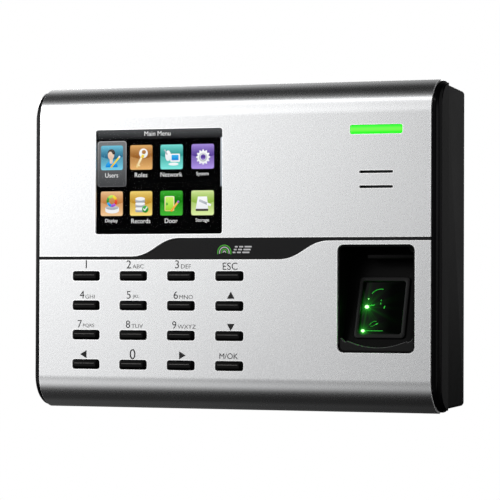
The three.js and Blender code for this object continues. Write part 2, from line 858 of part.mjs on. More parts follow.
function makeWallBracket() {
  const plate = slab(roundedOutline(0, 0, plateWidth, plateHeight, plateCorner), -plateThickness, 0);
  const solids = [plate];
  for (const [x, z] of hookPlaces()) {
    const tipY = floorInnerY - hookGap - hookThickness;
    solids.push(block(around(x, hookWidth), [tipY, -plateThickness / 2], [z, z + hookThickness]));
    solids.push(block(around(x, hookWidth), [tipY, tipY + hookThickness], [z, z + hookHeight]));
  }
  solids.push(block(
    around(0, tongueWidth), [-plateThickness, 0], [tongueBottom, plateBottom + plateCorner],
  ));
  solids.push(block(
    around(0, tongueWidth),
    [-plateThickness - tongueReach, 0],
    [tongueBottom, tongueBottom + plateThickness],
  ));
  const cableWindow = slab(
    roundedOutline(
      (bayLeft + bayRight) / 2, (bayBottom + bayTop) / 2,
      bayRight - bayLeft - 2 * windowMargin, bayTop - bayBottom - 2 * windowMargin, windowMargin,
    ),
    -plateThickness - beyond, beyond,
  );
  const holes = [cableWindow];
  for (const x of [-wallScrewX, wallScrewX]) {
    for (const z of [plateBottom + wallScrewFromEdge, plateTop - wallScrewFromEdge]) {
      holes.push(rod('y', [x, z], [-plateThickness - beyond, beyond], wallScrewRadius));
    }
  }
  holes.push(rod(
    'z', [0, securityScrewY()], [tongueBottom - beyond, tongueBottom + beyond],
    securityShankRadius + securityClearance,
  ));
  addPart('wall_bracket', cut(unite(solids), holes), 'steel');
}

// ---- Display -------------------------------------------------------------------------------

function makeDisplay() {
  const lensY = fromFace(seatDepth) + bondGap / 2;
  const lensBackY = lensY + lensThickness;
  const flange = slab(displayOutline(lensMargin), lensY, lensBackY);
  const raised = slab(displayOutline(-lensGap), fromFace(lensRecess), lensBackY);
  addPart('display_window', flange.add(raised), 'clearLens');

  const gasketY = innerFaceY + bondGap;
  const gasket = slab(
    displayOutline(gasketBorder), gasketY, gasketY + gasketThickness,
  ).subtract(throughFace(displayOutline(displayViewMargin)));
  addPart('display_gasket', gasket, 'foam');

  const moduleY = gasketY + gasketThickness + bondGap;
  const moduleBackY = moduleY + displayModuleThickness;
  const moduleWidth = displayWidth + 2 * displayModuleSideBorder;
  const moduleHeight = displayHeight + 2 * displayModuleEndBorder;
  const frame = block(
    around(displayX, moduleWidth), [moduleY, moduleBackY], around(displayZ, moduleHeight),
  );
  const screenInset = block(
    around(displayX, displayWidth), [moduleY - beyond, moduleY + bondGap], around(displayZ, displayHeight),
  );
  addPart('lcd_module', frame.subtract(screenInset), 'display');

  // The ribbon leaves the module's back, turns over and lands on the main board.
  const startZ = displayZ + displayHeight / 4; // a quarter of the display above its centre
  const landZ = startZ - 2 * ribbonThickness;
  const nearY = moduleBackY + bondGap;
  const farY = boardFrontY - bondGap;
  const ribbon = polygon([
    [nearY, startZ - ribbonTail],
    [nearY + ribbonThickness, startZ - ribbonTail],
    [nearY + ribbonThickness, landZ],
    [farY - ribbonThickness, landZ],
    [farY - ribbonThickness, startZ - ribbonTail],
    [farY, startZ - ribbonTail],
    [farY, startZ],
    [nearY, startZ],
  ]);
  addPart(
    'display_ribbon',
    runAlongX(ribbon, displayX - ribbonWidth / 2, displayX + ribbonWidth / 2),
    'ribbon',
  );
}

// ---- Keypad --------------------------------------------------------------------------------

const keyNames = [
  ['1', '2', '3', 'esc'],
  ['4', '5', '6', 'up'],
  ['7', '8', '9', 'down'],
  ['left', '0', 'right', 'ok'],
];
const keyFlangeY = innerFaceY + bondGap;
const domeTipY = keyFlangeY + keyFlangeThickness + keyTravel + domeGap;
const matY = domeTipY + domeHeight;
const keypadBoardY = matY + matThickness + bondGap;

// One cap, with its middle on the axis and its front chamfered.
function keyCapSolid() {
  const width = keyOpeningWidth - 2 * keyGap;
  const height = keyOpeningHeight - 2 * keyGap;
  const corner = keyCorner - keyGap;
  const frontY = faceY - keyProud;
  const bevelled = new THREE.ExtrudeGeometry(roundedOutline(0, 0, width, height, corner), {
    depth: keyFlangeY - frontY - keyChamfer + keyFlange,
    bevelEnabled: true,
    bevelThickness: keyChamfer,
    bevelSize: keyChamfer,
    bevelOffset: -keyChamfer,
    bevelSegments: 1,
    curveSegments: 2,
  });
  bevelled.rotateX(Math.PI / 2);
  bevelled.translate(0, keyFlangeY + keyFlange, 0);
  const rearY = keyFlangeY + keyFlangeThickness / 2;
  const behindFront = block([-width, width], [frontY - beyond, rearY], [-height, height]);
  const flange = block(
    around(0, width + 2 * keyFlange),
    [keyFlangeY, keyFlangeY + keyFlangeThickness],
    around(0, height + 2 * keyFlange),
  );
  return solidOf(bevelled).intersect(behindFront).add(flange);
}

function makeKeys() {
  const cap = keyCapSolid();
  keyNames.forEach((names, row) => names.forEach((name, column) => {
    const key = meshOf(`key_${name}`, cap, 'glossBlack');
    key.position.set(keyX(column), 0, keyZ(row));
    terminal.add(key);
  }));
}

function makeKeypadInside() {
  const middleZ = (keyZ(0) + keyZ(keyRows - 1)) / 2;
  const width = (keyColumns - 1) * keyPitchX + keyOpeningWidth + 2 * matMargin;
  const height = (keyRows - 1) * keyPitchZ + keyOpeningHeight + 2 * matMargin;
  const solids = [block(around(keypadX, width), [matY, matY + matThickness], around(middleZ, height))];
  for (let row = 0; row < keyRows; row += 1) {
    for (let column = 0; column < keyColumns; column += 1) {
      const tip = rod(
        'y', [keyX(column), keyZ(row)], [domeTipY, matY + matThickness / 2], domeRadius, smallSides,
      );
      solids.push(tip);
    }
  }
  // The posts that carry the main board pass through the mat and the keypad's board.
  const postHoles = postXs.flatMap((x) => postZs.map((z) => rod(
    'y', [x, z], [domeTipY - beyond, keypadBoardY + beyond], postRadius + postHoleGap, smallSides,
  )));
  // Their corners clear the screw towers, where they reach them.
  const towerNotches = [-towerX, towerX].flatMap((x) => [-towerZ, towerZ].map((z) => rod(
    'y', [x, z], [domeTipY - beyond, keypadBoardY + beyond], towerRadius + postHoleGap, smallSides * 2,
  )));
  const clearances = [...postHoles, ...towerNotches];
  addPart('keypad_mat', cut(unite(solids), clearances), 'silicone');
  const board = block(
    around(keypadX, width), [keypadBoardY, keypadBoardY + boardThickness], around(middleZ, height),
  );
  addPart('keypad_board', cut(board, clearances), 'circuit');
}

// ---- Indicator and speaker -----------------------------------------------------------------

function makeIndicator() {
  const frontY = fromFace(indicatorRecess);
  const backFaceY = frontY + indicatorDepth;
  const bar = slab(indicatorOutline(-indicatorGap), frontY, backFaceY);
  const flangeY = innerFaceY + bondGap;
  const flange = slab(indicatorOutline(indicatorFlange), flangeY, flangeY + indicatorFlange);
  addPart('indicator_light_guide', bar.add(flange), 'indicator');

  const boardY = backFaceY + indicatorToBoard;
  const board = block(
    around(columnX, indicatorWidth + 2 * indicatorBoardMargin),
    [boardY, boardY + indicatorBoardThickness],
    around(indicatorZ, indicatorHeight + 2 * indicatorBoardMargin),
  );
  const [lightWidth, lightDepth, lightHeight] = indicatorLightSize;
  const lightFrontY = boardY + indicatorBoardThickness / 2 - lightDepth;
  const lights = [-1, 0, 1].map((place) => block(
    around(columnX + place * indicatorWidth / 3, lightWidth),
    [lightFrontY, boardY + indicatorBoardThickness / 2],
    around(indicatorZ, lightHeight),
  ));
  addPart('indicator_board', unite([board, ...lights]), 'circuit');
}

function makeSpeaker() {
  const frontY = innerFaceY + bondGap;
  const profile = [
    [0, 0],
    [speakerRadius, 0],
    [speakerRadius, speakerRimThickness],
    [magnetRadius, speakerRimThickness + coneDepth],
    [magnetRadius, speakerDepth],
    [0, speakerDepth],
  ].map(([radius, height]) => new THREE.Vector2(radius, height));
  const geometry = new THREE.LatheGeometry(profile, roundSides);
  geometry.translate(columnX, frontY, speakerZ);
  addPart('speaker', solidOf(geometry), 'speaker');
}

// ---- Finger recess and optical sensor ------------------------------------------------------

const leanSlope = Math.tan(platenLean);
const platenBottomZ = fingerTop - platenBottomDrop;
const platenPlaneY = (z) => fromFace(platenBottomDepth) + (z - platenBottomZ) * leanSlope;

function makeFingerBezel() {
  const bezelGrow = -bezelGap;
  const innerGrow = -bezelGap - bezelWall;
  const lowZ = fingerBottom - beyond;
  const highZ = fingerTop + beyond;
  const frontY = fromFace(bezelRecess);
  const plateY = bezelPlate / Math.cos(platenLean);
  const bodyProfile = polygon([
    [frontY, lowZ],
    [platenPlaneY(lowZ) + plateY, lowZ],
    [platenPlaneY(highZ) + plateY, highZ],
    [frontY, highZ],
  ]);
  const spanX = [columnX - fingerWidth, columnX + fingerWidth];
  const body = runAlongX(bodyProfile, ...spanX)
    .intersect(slab(fingerOutline(bezelGrow), frontY - beyond, boardBackY + beyond));
  const flangeY = innerFaceY + bondGap;
  const flange = slab(fingerOutline(bezelFlange), flangeY, flangeY + bezelFlangeThickness);
  const hollowProfile = polygon([
    [frontY - beyond, lowZ],
    [platenPlaneY(lowZ), lowZ],
    [platenPlaneY(highZ), highZ],
    [frontY - beyond, highZ],
  ]);
  const hollow = runAlongX(hollowProfile, ...spanX)
    .intersect(slab(fingerOutline(innerGrow), frontY - beyond, boardBackY + beyond));

  // Lip under the finger, dished in the middle.
  const lipY = fromFace(lipFrontDepth);
  const lipZ = fingerBottom + bezelGap;
  const innerHalf = fingerWidth / 2 + innerGrow;
  const lip = new THREE.Shape();
  lip.moveTo(columnX - innerHalf - bezelWall / 2, lipZ);
  lip.lineTo(columnX + innerHalf + bezelWall / 2, lipZ);
  lip.lineTo(columnX + innerHalf + bezelWall / 2, lipZ + lipSideHeight);
  lip.quadraticCurveTo(
    columnX, lipZ + 2 * lipMiddleHeight - lipSideHeight,
    columnX - innerHalf - bezelWall / 2, lipZ + lipSideHeight,
  );
  const lipPlate = slab(lip, lipY, lipY + lipPlateThickness, bendSteps)
    .intersect(slab(fingerOutline(bezelGrow), frontY - beyond, boardBackY));

  const frame = leaningBlock(platenWidth, platenLength, -platenRaise, bezelPlate / 2);
  const glassHole = leaningBlock(
    platenWidth - 2 * platenBorder, platenLength - 2 * platenBorder, -beyond, 2 * beyond,
  );
  const solid = body.add(flange).subtract(hollow).add(lipPlate).add(frame).subtract(glassHole);
  addPart('finger_bezel', solid, 'matteBlack');
}

// A block that leans with the platen: depths are measured square to the platen's plane.
function leaningBlock(width, length, nearDepth, farDepth) {
  const geometry = new THREE.BoxGeometry(width, farDepth - nearDepth, length);
  geometry.translate(0, (nearDepth + farDepth) / 2, platenLength / 2);
  geometry.rotateX(-platenLean);
  geometry.translate(columnX, fromFace(platenBottomDepth), platenBottomZ);
  return solidOf(geometry);
}

// Pieces of the optical sensor stand in a group that leans with the platen: its Y runs square
// to the glass and its Z up along it.
function makeSensor() {
  const sensor = new THREE.Group();
  sensor.position.set(columnX, fromFace(platenBottomDepth), platenBottomZ);
  sensor.rotation.x = -platenLean;
  terminal.add(sensor);

  const middleZ = platenLength / 2;
  const glassWidth = platenWidth - 2 * platenBorder - 2 * turnedGap;
  const glassLength = platenLength - 2 * platenBorder - 2 * turnedGap;
  const neck = bezelPlate + 2 * turnedGap;
  const face = polygon([
    [0, middleZ - glassLength / 2],
    [neck, middleZ - glassLength / 2],
    [neck + glassLength * prismDepthShare, middleZ],
    [neck, middleZ + glassLength / 2],
    [0, middleZ + glassLength / 2],
  ]);
  sensor.add(meshOf('platen_prism', runAlongX(face, -glassWidth / 2, glassWidth / 2), 'opticalGlass'));

  const caseY = bezelPlate + turnedGap;
  const caseWidth = platenWidth + 2 * sensorWall;
  const caseLength = platenLength + 2 * sensorWall;
  const wallsOf = block(
    around(0, caseWidth), [caseY, caseY + sensorCaseDepth], around(middleZ, caseLength),
  );
  const room = block(
    around(0, caseWidth - 2 * sensorWall),
    [caseY - beyond, caseY + sensorCaseDepth + beyond],
    around(middleZ, caseLength - 2 * sensorWall),
  );
  sensor.add(meshOf('sensor_case', wallsOf.subtract(room), 'connector'));

  const boardY = caseY + sensorCaseDepth + turnedGap;
  const board = block(
    around(0, caseWidth), [boardY, boardY + sensorBoardThickness], around(middleZ, caseLength),
  );
  sensor.add(meshOf('sensor_board', board, 'circuit'));

  // The lens looks at the glass along the prism's lower slope.
  const lensZ = middleZ - glassLength / 3;
  const lensEndY = boardY - turnedGap;
  const lens = rod(
    'y', [0, lensZ], [lensEndY - sensorLensLength, lensEndY], sensorLensRadius, smallSides,
  );
  sensor.add(meshOf('sensor_lens', lens, 'connector'));

  const emitterX = -glassWidth / 2 - turnedGap - emitterSize / 2;
  ['lower', 'upper'].forEach((place, index) => {
    const z = platenBorder + emitterFromEnd + index * emitterSpacing;
    const emitter = block(
      around(emitterX, emitterSize), [caseY + turnedGap, caseY + turnedGap + emitterSize],
      around(z, emitterSize),
    );
    sensor.add(meshOf(`sensor_led_${place}`, emitter, 'emitter'));
  });
}

// ---- Main board and connectors -------------------------------------------------------------

function makeMainBoard() {
  const board = block([boardLeft, boardRight], [boardFrontY, boardBackY], [boardBottom, boardTop]);
  const holes = postXs.flatMap((x) => postZs.map((z) => rod(
    'y', [x, z], [boardFrontY - beyond, boardBackY + beyond], shankHole, smallSides,
  )));
  addPart('main_board', cut(board, holes), 'circuit');
}

function makeConnectors() {
  const solderGap = bondGap;
  const seatY = boardBackY + solderGap;

  // Network jack, mouth down into the bay.
  const jack = block(
    around(jackX, jackWidth), [seatY, seatY + jackHeight - solderGap], [bayTop, bayTop + jackLength],
  );
  const jackRoomZs = [bayTop - beyond, bayTop + jackLength - jackEndWall];
  const plugFloorY = seatY + jackPlugFloor;
  const plugRoom = block(
    around(jackX, jackPlugWidth), [plugFloorY, plugFloorY + jackPlugHeight], jackRoomZs,
  );
  const latchRoom = block(
    around(jackX, jackLatchWidth),
    [seatY + jackLatchFloor, plugFloorY + jackPlugHeight / 2],
    jackRoomZs,
  );
  addPart('ethernet_jack', cut(jack, [plugRoom, latchRoom]), 'tinned');

  // Power jack with its centre pin.
  const powerY = seatY + (powerHeight - solderGap) / 2;
  const body = block(
    around(powerX, powerWidth), [seatY, seatY + powerHeight - solderGap], [bayTop, bayTop + powerLength],
  );
  const bore = rod(
    'z', [powerX, powerY], [bayTop - beyond, bayTop + powerLength - powerEndWall], powerBore,
  );
  const pinZs = [bayTop + powerPinRecess, bayTop + powerLength - powerEndWall / 2];
  const pin = rod('z', [powerX, powerY], pinZs, powerPin, smallSides);
  addPart('power_jack', body.subtract(bore).add(pin), 'connector');

  // Wiring terminal block: one square wire hole for each way.
  const housing = block(
    around(blockX, blockWidth), [seatY, seatY + blockHeight - solderGap], [bayTop, bayTop + blockLength],
  );
  const wireHoles = [];
  for (let way = 0; way < blockWays; way += 1) {
    const x = blockX + (way - (blockWays - 1) / 2) * blockPitch;
    wireHoles.push(block(
      around(x, wireHoleWidth),
      around(seatY + blockHeight / 2, wireHoleHeight),
      [bayTop - beyond, bayTop + wireHoleDepth],
    ));
  }
  addPart('terminal_block', cut(housing, wireHoles), 'wiring');

  // USB port, mouth down in the case's underside.
  const usbFrontZ = shellBottomAt(backY) + usbRecess;
  const shell = block(
    around(usbX, usbWidth), [seatY, seatY + usbHeight - solderGap], [usbFrontZ, usbFrontZ + usbLength],
  );
  const socket = block(
    around(usbX, usbWidth - 2 * usbSheet),
    [seatY + usbSheet, seatY + usbHeight - solderGap - usbSheet],
    [usbFrontZ - beyond, usbFrontZ + usbLength - usbEndWall],
  );
  const tongueY = seatY + usbSheet + usbTongueGap;
  const tongue = block(
    around(usbX, usbWidth - 2 * usbTongueMargin),
    [tongueY, tongueY + usbTongue],
    [usbFrontZ + usbTongueMargin, usbFrontZ + usbLength - usbTongueMargin],
  );
  addPart('usb_port', shell.subtract(socket).add(tongue), 'tinned');
}

// ---- Switches and battery ------------------------------------------------------------------

function makeSwitches() {
  const seatY = boardBackY + bondGap;
  const bodyTopY = seatY + tamperSwitchHeight;
  const body = block(
    around(tamperX, tamperSwitchSize), [seatY, bodyTopY], around(tamperZ, tamperSwitchSize),
  );
  addPart('tamper_switch', body, 'connector');
  const plungerY = bodyTopY + tamperTravel + switchGap;
  const tipY = -plateThickness - hookGap;
  const pin = rod('y', [tamperX, tamperZ], [plungerY, tipY], tamperRadius, smallSides);
  const collar = rod(
    'y', [tamperX, tamperZ], [plungerY, plungerY + tamperCollarThickness], tamperCollar, smallSides,
  );
  addPart('tamper_plunger', pin.add(collar), 'nylon');

  const buttonY = boardBackY + resetSwitchHeight / 2;
  const switchZ = shellFloorZ + resetFromFloor;
  const resetBody = block(
    around(resetX, resetSwitchSize),
    [seatY, boardBackY + resetSwitchHeight],
    [switchZ, switchZ + resetSwitchSize],
  );
  addPart('reset_switch', resetBody, 'connector');
  const buttonTopZ = switchZ - resetTravel - switchGap / 2;
  const buttonZs = [buttonTopZ - resetButtonLength, buttonTopZ];
  const button = rod('z', [resetX, buttonY], buttonZs, resetRadius, smallSides);
  addPart('reset_button', button, 'nylon');
}

function makeBattery() {
  const seatY = boardBackY + bondGap;
  const cellY = seatY + holderFloor;
  const holder = rod(
    'y', [batteryX, batteryZ], [seatY, cellY + batteryThickness], batteryRadius + holderWall,
  ).subtract(rod(
    'y', [batteryX, batteryZ], [cellY - bondGap, cellY + beyond], batteryRadius + fitGap,
  ));
  addPart('battery_holder', holder, 'connector');
  const cell = rod('y', [batteryX, batteryZ], [cellY, cellY + batteryThickness], batteryRadius);
  addPart('clock_battery', cell, 'tinned');
}

// ---- Fasteners -----------------------------------------------------------------------------

// A screw with its head's underside at the origin, shank towards -Y.
function screwSolid(shankRadius, length, headRadius, headThickness) {
  const tipRadius = headRadius * screwHeadTaper;
  const head = rod('y', [0, 0], [0, headThickness], headRadius, smallSides * 2, tipRadius);
  const shank = rod('y', [0, 0], [-length, headThickness / 2], shankRadius, smallSides);
  const driveYs = [headThickness - recessKey, headThickness + beyond];
  const drive = rod('y', [0, 0], driveYs, recessRadius, recessSides);
  return head.add(shank).subtract(drive);
}

function makeFasteners() {
  const caseScrew = screwSolid(
    screwShankRadius, screwLength - towerFloor, screwHeadRadius, screwHeadThickness,
  );
  const headY = fromFace(towerDepth) + seamGap + towerFloor;
  const corners = [[-1, 1], [1, 1], [-1, -1], [1, -1]];
  corners.forEach(([side, end], index) => {
    const screw = meshOf(`case_screw_${index + 1}`, caseScrew, 'steel');
    screw.position.set(side * towerX, headY, end * towerZ);
    terminal.add(screw);
  });

  const boardScrew = screwSolid(
    screwShankRadius, boardScrewLength - boardScrewSpare, boardScrewHeadRadius,
    boardScrewHeadThickness,
  );
  postXs.forEach((x, side) => postZs.forEach((z, end) => {
    const screw = meshOf(`board_screw_${2 * side + end + 1}`, boardScrew, 'steel');
    screw.position.set(x, boardBackY, z);
    terminal.add(screw);
  }));

  const security = meshOf(
    'security_screw',
    screwSolid(securityShankRadius, securityLength, screwHeadRadius, screwHeadThickness),
    'steel',
  );
  security.position.set(0, securityScrewY(), shellBottomAt(securityScrewY()) - fitGap);
  security.rotation.x = -Math.PI / 2;
  terminal.add(security);
}

makeWallBracket();
makeBackShell();
makeFrontHousing();
makePanels();
makeAccentStrip();
makeDisplay();
makeKeys();
makeKeypadInside();
makeIndicator();
makeSpeaker();
makeFingerBezel();
makeSensor();
makeMainBoard();
makeConnectors();
makeSwitches();
makeBattery();
makeFasteners();

export default terminal;
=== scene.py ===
import bpy
import bmesh
import json
from math import acos, copysign, cos, pi, radians, sin
from mathutils import Matrix, Vector

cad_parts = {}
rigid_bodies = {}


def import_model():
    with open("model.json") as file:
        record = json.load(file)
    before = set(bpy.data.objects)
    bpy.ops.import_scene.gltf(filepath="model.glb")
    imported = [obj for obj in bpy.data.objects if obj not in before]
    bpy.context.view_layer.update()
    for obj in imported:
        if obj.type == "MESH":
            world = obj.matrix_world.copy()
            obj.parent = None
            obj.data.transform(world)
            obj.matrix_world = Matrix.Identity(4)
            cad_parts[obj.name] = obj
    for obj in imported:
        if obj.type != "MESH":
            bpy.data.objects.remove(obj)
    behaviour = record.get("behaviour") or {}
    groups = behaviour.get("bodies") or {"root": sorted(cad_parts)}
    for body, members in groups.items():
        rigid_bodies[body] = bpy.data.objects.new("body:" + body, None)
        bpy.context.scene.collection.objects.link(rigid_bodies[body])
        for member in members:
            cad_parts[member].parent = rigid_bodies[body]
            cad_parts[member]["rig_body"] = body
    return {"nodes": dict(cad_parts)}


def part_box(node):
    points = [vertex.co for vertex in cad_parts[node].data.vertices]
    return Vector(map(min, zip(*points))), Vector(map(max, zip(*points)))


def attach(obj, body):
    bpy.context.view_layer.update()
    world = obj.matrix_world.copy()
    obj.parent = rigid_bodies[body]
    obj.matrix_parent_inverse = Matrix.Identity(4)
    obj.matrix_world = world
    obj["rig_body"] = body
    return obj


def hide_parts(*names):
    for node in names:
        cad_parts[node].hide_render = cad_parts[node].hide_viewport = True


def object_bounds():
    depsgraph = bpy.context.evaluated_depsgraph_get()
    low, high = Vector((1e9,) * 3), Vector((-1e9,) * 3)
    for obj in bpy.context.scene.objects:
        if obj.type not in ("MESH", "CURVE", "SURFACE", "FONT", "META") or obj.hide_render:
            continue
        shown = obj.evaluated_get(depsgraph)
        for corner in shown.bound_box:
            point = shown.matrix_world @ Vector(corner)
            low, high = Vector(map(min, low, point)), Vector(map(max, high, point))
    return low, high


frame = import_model()
cadLow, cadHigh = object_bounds()
scene = bpy.context.scene
mm = 0.001
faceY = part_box("lower_face_panel")[0].y

cameraSpec = {
    "yaw": radians(23.555),
    "pitch": radians(-0.829),
    "roll": radians(0.194),
    "distance": 1.18165,
    "aim": Vector((9.16 * mm, faceY, -1.36 * mm)),
    "lens": 209.3,
    "sensor": 36.0,
    "clip": (0.05, 20),
}


def placeCamera(spec):
    yaw, pitch, roll = spec["yaw"], spec["pitch"], spec["roll"]
    back = Vector((
        sin(yaw) * cos(pitch),
        -cos(yaw) * cos(pitch),
        sin(pitch),
    ))
    level = Vector((cos(yaw), sin(yaw), 0))
    upright = back.cross(level)
    right = level * cos(roll) + upright * sin(roll)
    up = upright * cos(roll) - level * sin(roll)
    data = bpy.data.cameras.new("camera")
    data.lens = spec["lens"]
    data.sensor_width = spec["sensor"]
    data.clip_start, data.clip_end = spec["clip"]
    camera = bpy.data.objects.new("camera", data)
    scene.collection.objects.link(camera)
    turn = Matrix((right, up, back)).transposed().to_4x4()
    camera.matrix_world = Matrix.Translation(spec["aim"] + back * spec["distance"]) @ turn
    scene.camera = camera


placeCamera(cameraSpec)
print("camera in place")


# What a surface facing the room sees, by the angle round the object from front (0) over the
# top (90) to behind (180), and from front under it (-90) to behind.
roomSpec = {
    "steps": [
        (-180, 0.12), (-166, 0.10), (-150, 0.05), (-125, 0.04), (-108, 0.05), (-94, 0.02), (-66, 0.02),
        (-50, 0.06), (-40, 0.34), (-31, 0.66), (-22, 0.60), (-12, 0.34), (-4, 0.34),
        (4, 1.28), (12, 1.42), (46, 1.02), (54, 0.66), (62, 0.16), (78, 0.02), (98, 0.02),
        (112, 0.08), (128, 0.34), (145, 0.60), (172, 0.46), (180, 0.12),
    ],
    "sideways": [
        (-1.0, 2.0), (-0.56, 2.95), (-0.26, 0.10), (-0.14, 0.12), (0.0, 0.40), (0.12, 0.40),
        (0.28, 0.12), (0.62, 0.12), (0.76, 0.9), (1.0, 1.4),
    ],
    "top": 4,  # above every level in the two lists
    "backdrop": (1.0, 1.0, 1.0),
}


# Joins a socket to another one, or gives it a plain value.
def wire(tree, value, socket):
    if isinstance(value, bpy.types.NodeSocket):
        tree.links.new(value, socket)
    else:
        socket.default_value = value


def calc(tree, operation, *values, kind="ShaderNodeMath", output=0):
    node = tree.nodes.new(kind)
    node.operation = operation
    for value, socket in zip(values, node.inputs):
        wire(tree, value, socket)
    return node.outputs[output]


def coordinates(tree, kind):
    return tree.nodes.new("ShaderNodeTexCoord").outputs[kind]


def splitVector(tree, vector):
    split = tree.nodes.new("ShaderNodeSeparateXYZ")
    wire(tree, vector, split.inputs[0])
    return split.outputs


# A curve through the steps, each a share along it and a level.
def curveLevel(tree, share, steps, top):
    node = tree.nodes.new("ShaderNodeFloatCurve")
    curve = node.mapping.curves[0]
    for point, (along, level) in zip(curve.points, (steps[0], steps[-1])):
        point.location = (along, level / top)
    for along, level in steps[1:-1]:
        curve.points.new(along, level / top)
    for point in curve.points:
        point.handle_type = "VECTOR"
    node.mapping.update()
    wire(tree, share, node.inputs["Value"])
    return node.outputs["Value"]


def makeRoom(spec):
    world = bpy.data.worlds.new("room")
    scene.world = world
    world.use_nodes = True
    tree = world.node_tree
    tree.nodes.clear()
    heading = splitVector(tree, coordinates(tree, "Generated"))
    ahead = calc(tree, "MULTIPLY", heading["Y"], -1.0)
    angle = calc(tree, "ARCTAN2", heading["Z"], ahead)
    share = calc(tree, "MULTIPLY_ADD", angle, 0.5 / pi, 0.5)
    steps = [(degrees / 360 + 0.5, level) for degrees, level in spec["steps"]]
    around = curveLevel(tree, share, steps, spec["top"])
    across = calc(tree, "MULTIPLY_ADD", heading["X"], 0.5, 0.5)
    steps = [(x / 2 + 0.5, level) for x, level in spec["sideways"]]
    sideways = curveLevel(tree, across, steps, spec["top"])
    level = calc(tree, "MULTIPLY", calc(tree, "MULTIPLY", around, sideways), spec["top"] ** 2)
    room = tree.nodes.new("ShaderNodeBackground")
    wire(tree, level, room.inputs["Strength"])
    backdrop = tree.nodes.new("ShaderNodeBackground")
    wire(tree, (*spec["backdrop"], 1), backdrop.inputs["Color"])
    mix = tree.nodes.new("ShaderNodeMixShader")
    seen = tree.nodes.new("ShaderNodeLightPath").outputs["Is Camera Ray"]
    for value, socket in zip((seen, room.outputs[0], backdrop.outputs[0]), mix.inputs):
        wire(tree, value, socket)
    wire(tree, mix.outputs[0], tree.nodes.new("ShaderNodeOutputWorld").inputs["Surface"])


# Softboxes: middle, what each one faces, width, height and power.
lampSpecs = {
    "strip_above": {
        "at": (-0.30, -0.95, 1.10), "to": (0, 0, 0), "size": (1.6, 0.025), "power": 1.9,
    },
    "back_fill": {
        "at": (-0.62, 1.10, 0.15), "to": (0, 0, 0), "size": (0.9, 0.4), "power": 8,
    },
    "side_fill": {
        "at": (0.57, 1.10, 0.14), "to": (0.09, -0.02, 0.0), "size": (0.7, 0.5), "power": 0.12,
    },
}


def makeLamp(name, spec):
    data = bpy.data.lights.new(name, "AREA")
    data.shape = "RECTANGLE"
    data.size, data.size_y = spec["size"]
    data.energy = spec["power"]
    lamp = bpy.data.objects.new(name, data)
    scene.collection.objects.link(lamp)
    lamp.location = spec["at"]
    heading = Vector(spec["to"]) - Vector(spec["at"])
    lamp.rotation_euler = heading.to_track_quat("-Z", "Y").to_euler()
    lamp.visible_camera = False


makeRoom(roomSpec)
for lampName, lampSpec in lampSpecs.items():
    makeLamp(lampName, lampSpec)
scene.view_settings.view_transform = "Standard"
print("room and lamps in place")


# A group's sockets take their kind from their starting values.
def newGroup(name, inputs, outputs):
    tree = bpy.data.node_groups.new(name, "ShaderNodeTree")
    kinds = {1: "NodeSocketFloat", 3: "NodeSocketVector", 4: "NodeSocketColor"}
    for side, sockets in (("INPUT", inputs), ("OUTPUT", outputs)):
        for label, value in sockets.items():
            kind = kinds[len(value) if isinstance(value, tuple) else 1]
            socket = tree.interface.new_socket(name=label, in_out=side, socket_type=kind)
            if side == "INPUT":
                socket.default_value = value
    return tree, tree.nodes.new("NodeGroupInput").outputs, tree.nodes.new("NodeGroupOutput").inputs


def noiseLevel(tree, vector, scale, detail):
    noise = tree.nodes.new("ShaderNodeTexNoise")
    for label, value in (("Detail", detail), ("Vector", vector), ("Scale", scale)):
        wire(tree, value, noise.inputs[label])
    return noise.outputs["Fac"]


def mixColours(tree, factor, first, second):
    mix = tree.nodes.new("ShaderNodeMix")
    mix.data_type = "RGBA"
    mix.clamp_factor = True
    for label, value in (("Factor", factor), ("A", first), ("B", second)):
        wire(tree, value, mix.inputs[label])
    return mix.outputs["Result"]


def scaleColour(tree, colour, amount):
    node = tree.nodes.new("ShaderNodeVectorMath")
    node.operation = "SCALE"
    wire(tree, colour, node.inputs[0])
    wire(tree, amount, node.inputs["Scale"])
    return node.outputs[0]


wearSpec = {
    "grainDetail": 2.0,
    "marksDetail": 4.0,
    "marksTone": 0.35,
    "scratchTurn": (0.0, 0.5, 0.3),
    "scratchStretch": (14.0, 14.0, 0.6),
    "scratchDetail": 3.0,
    "scratchRange": (0.66, 0.72),
}


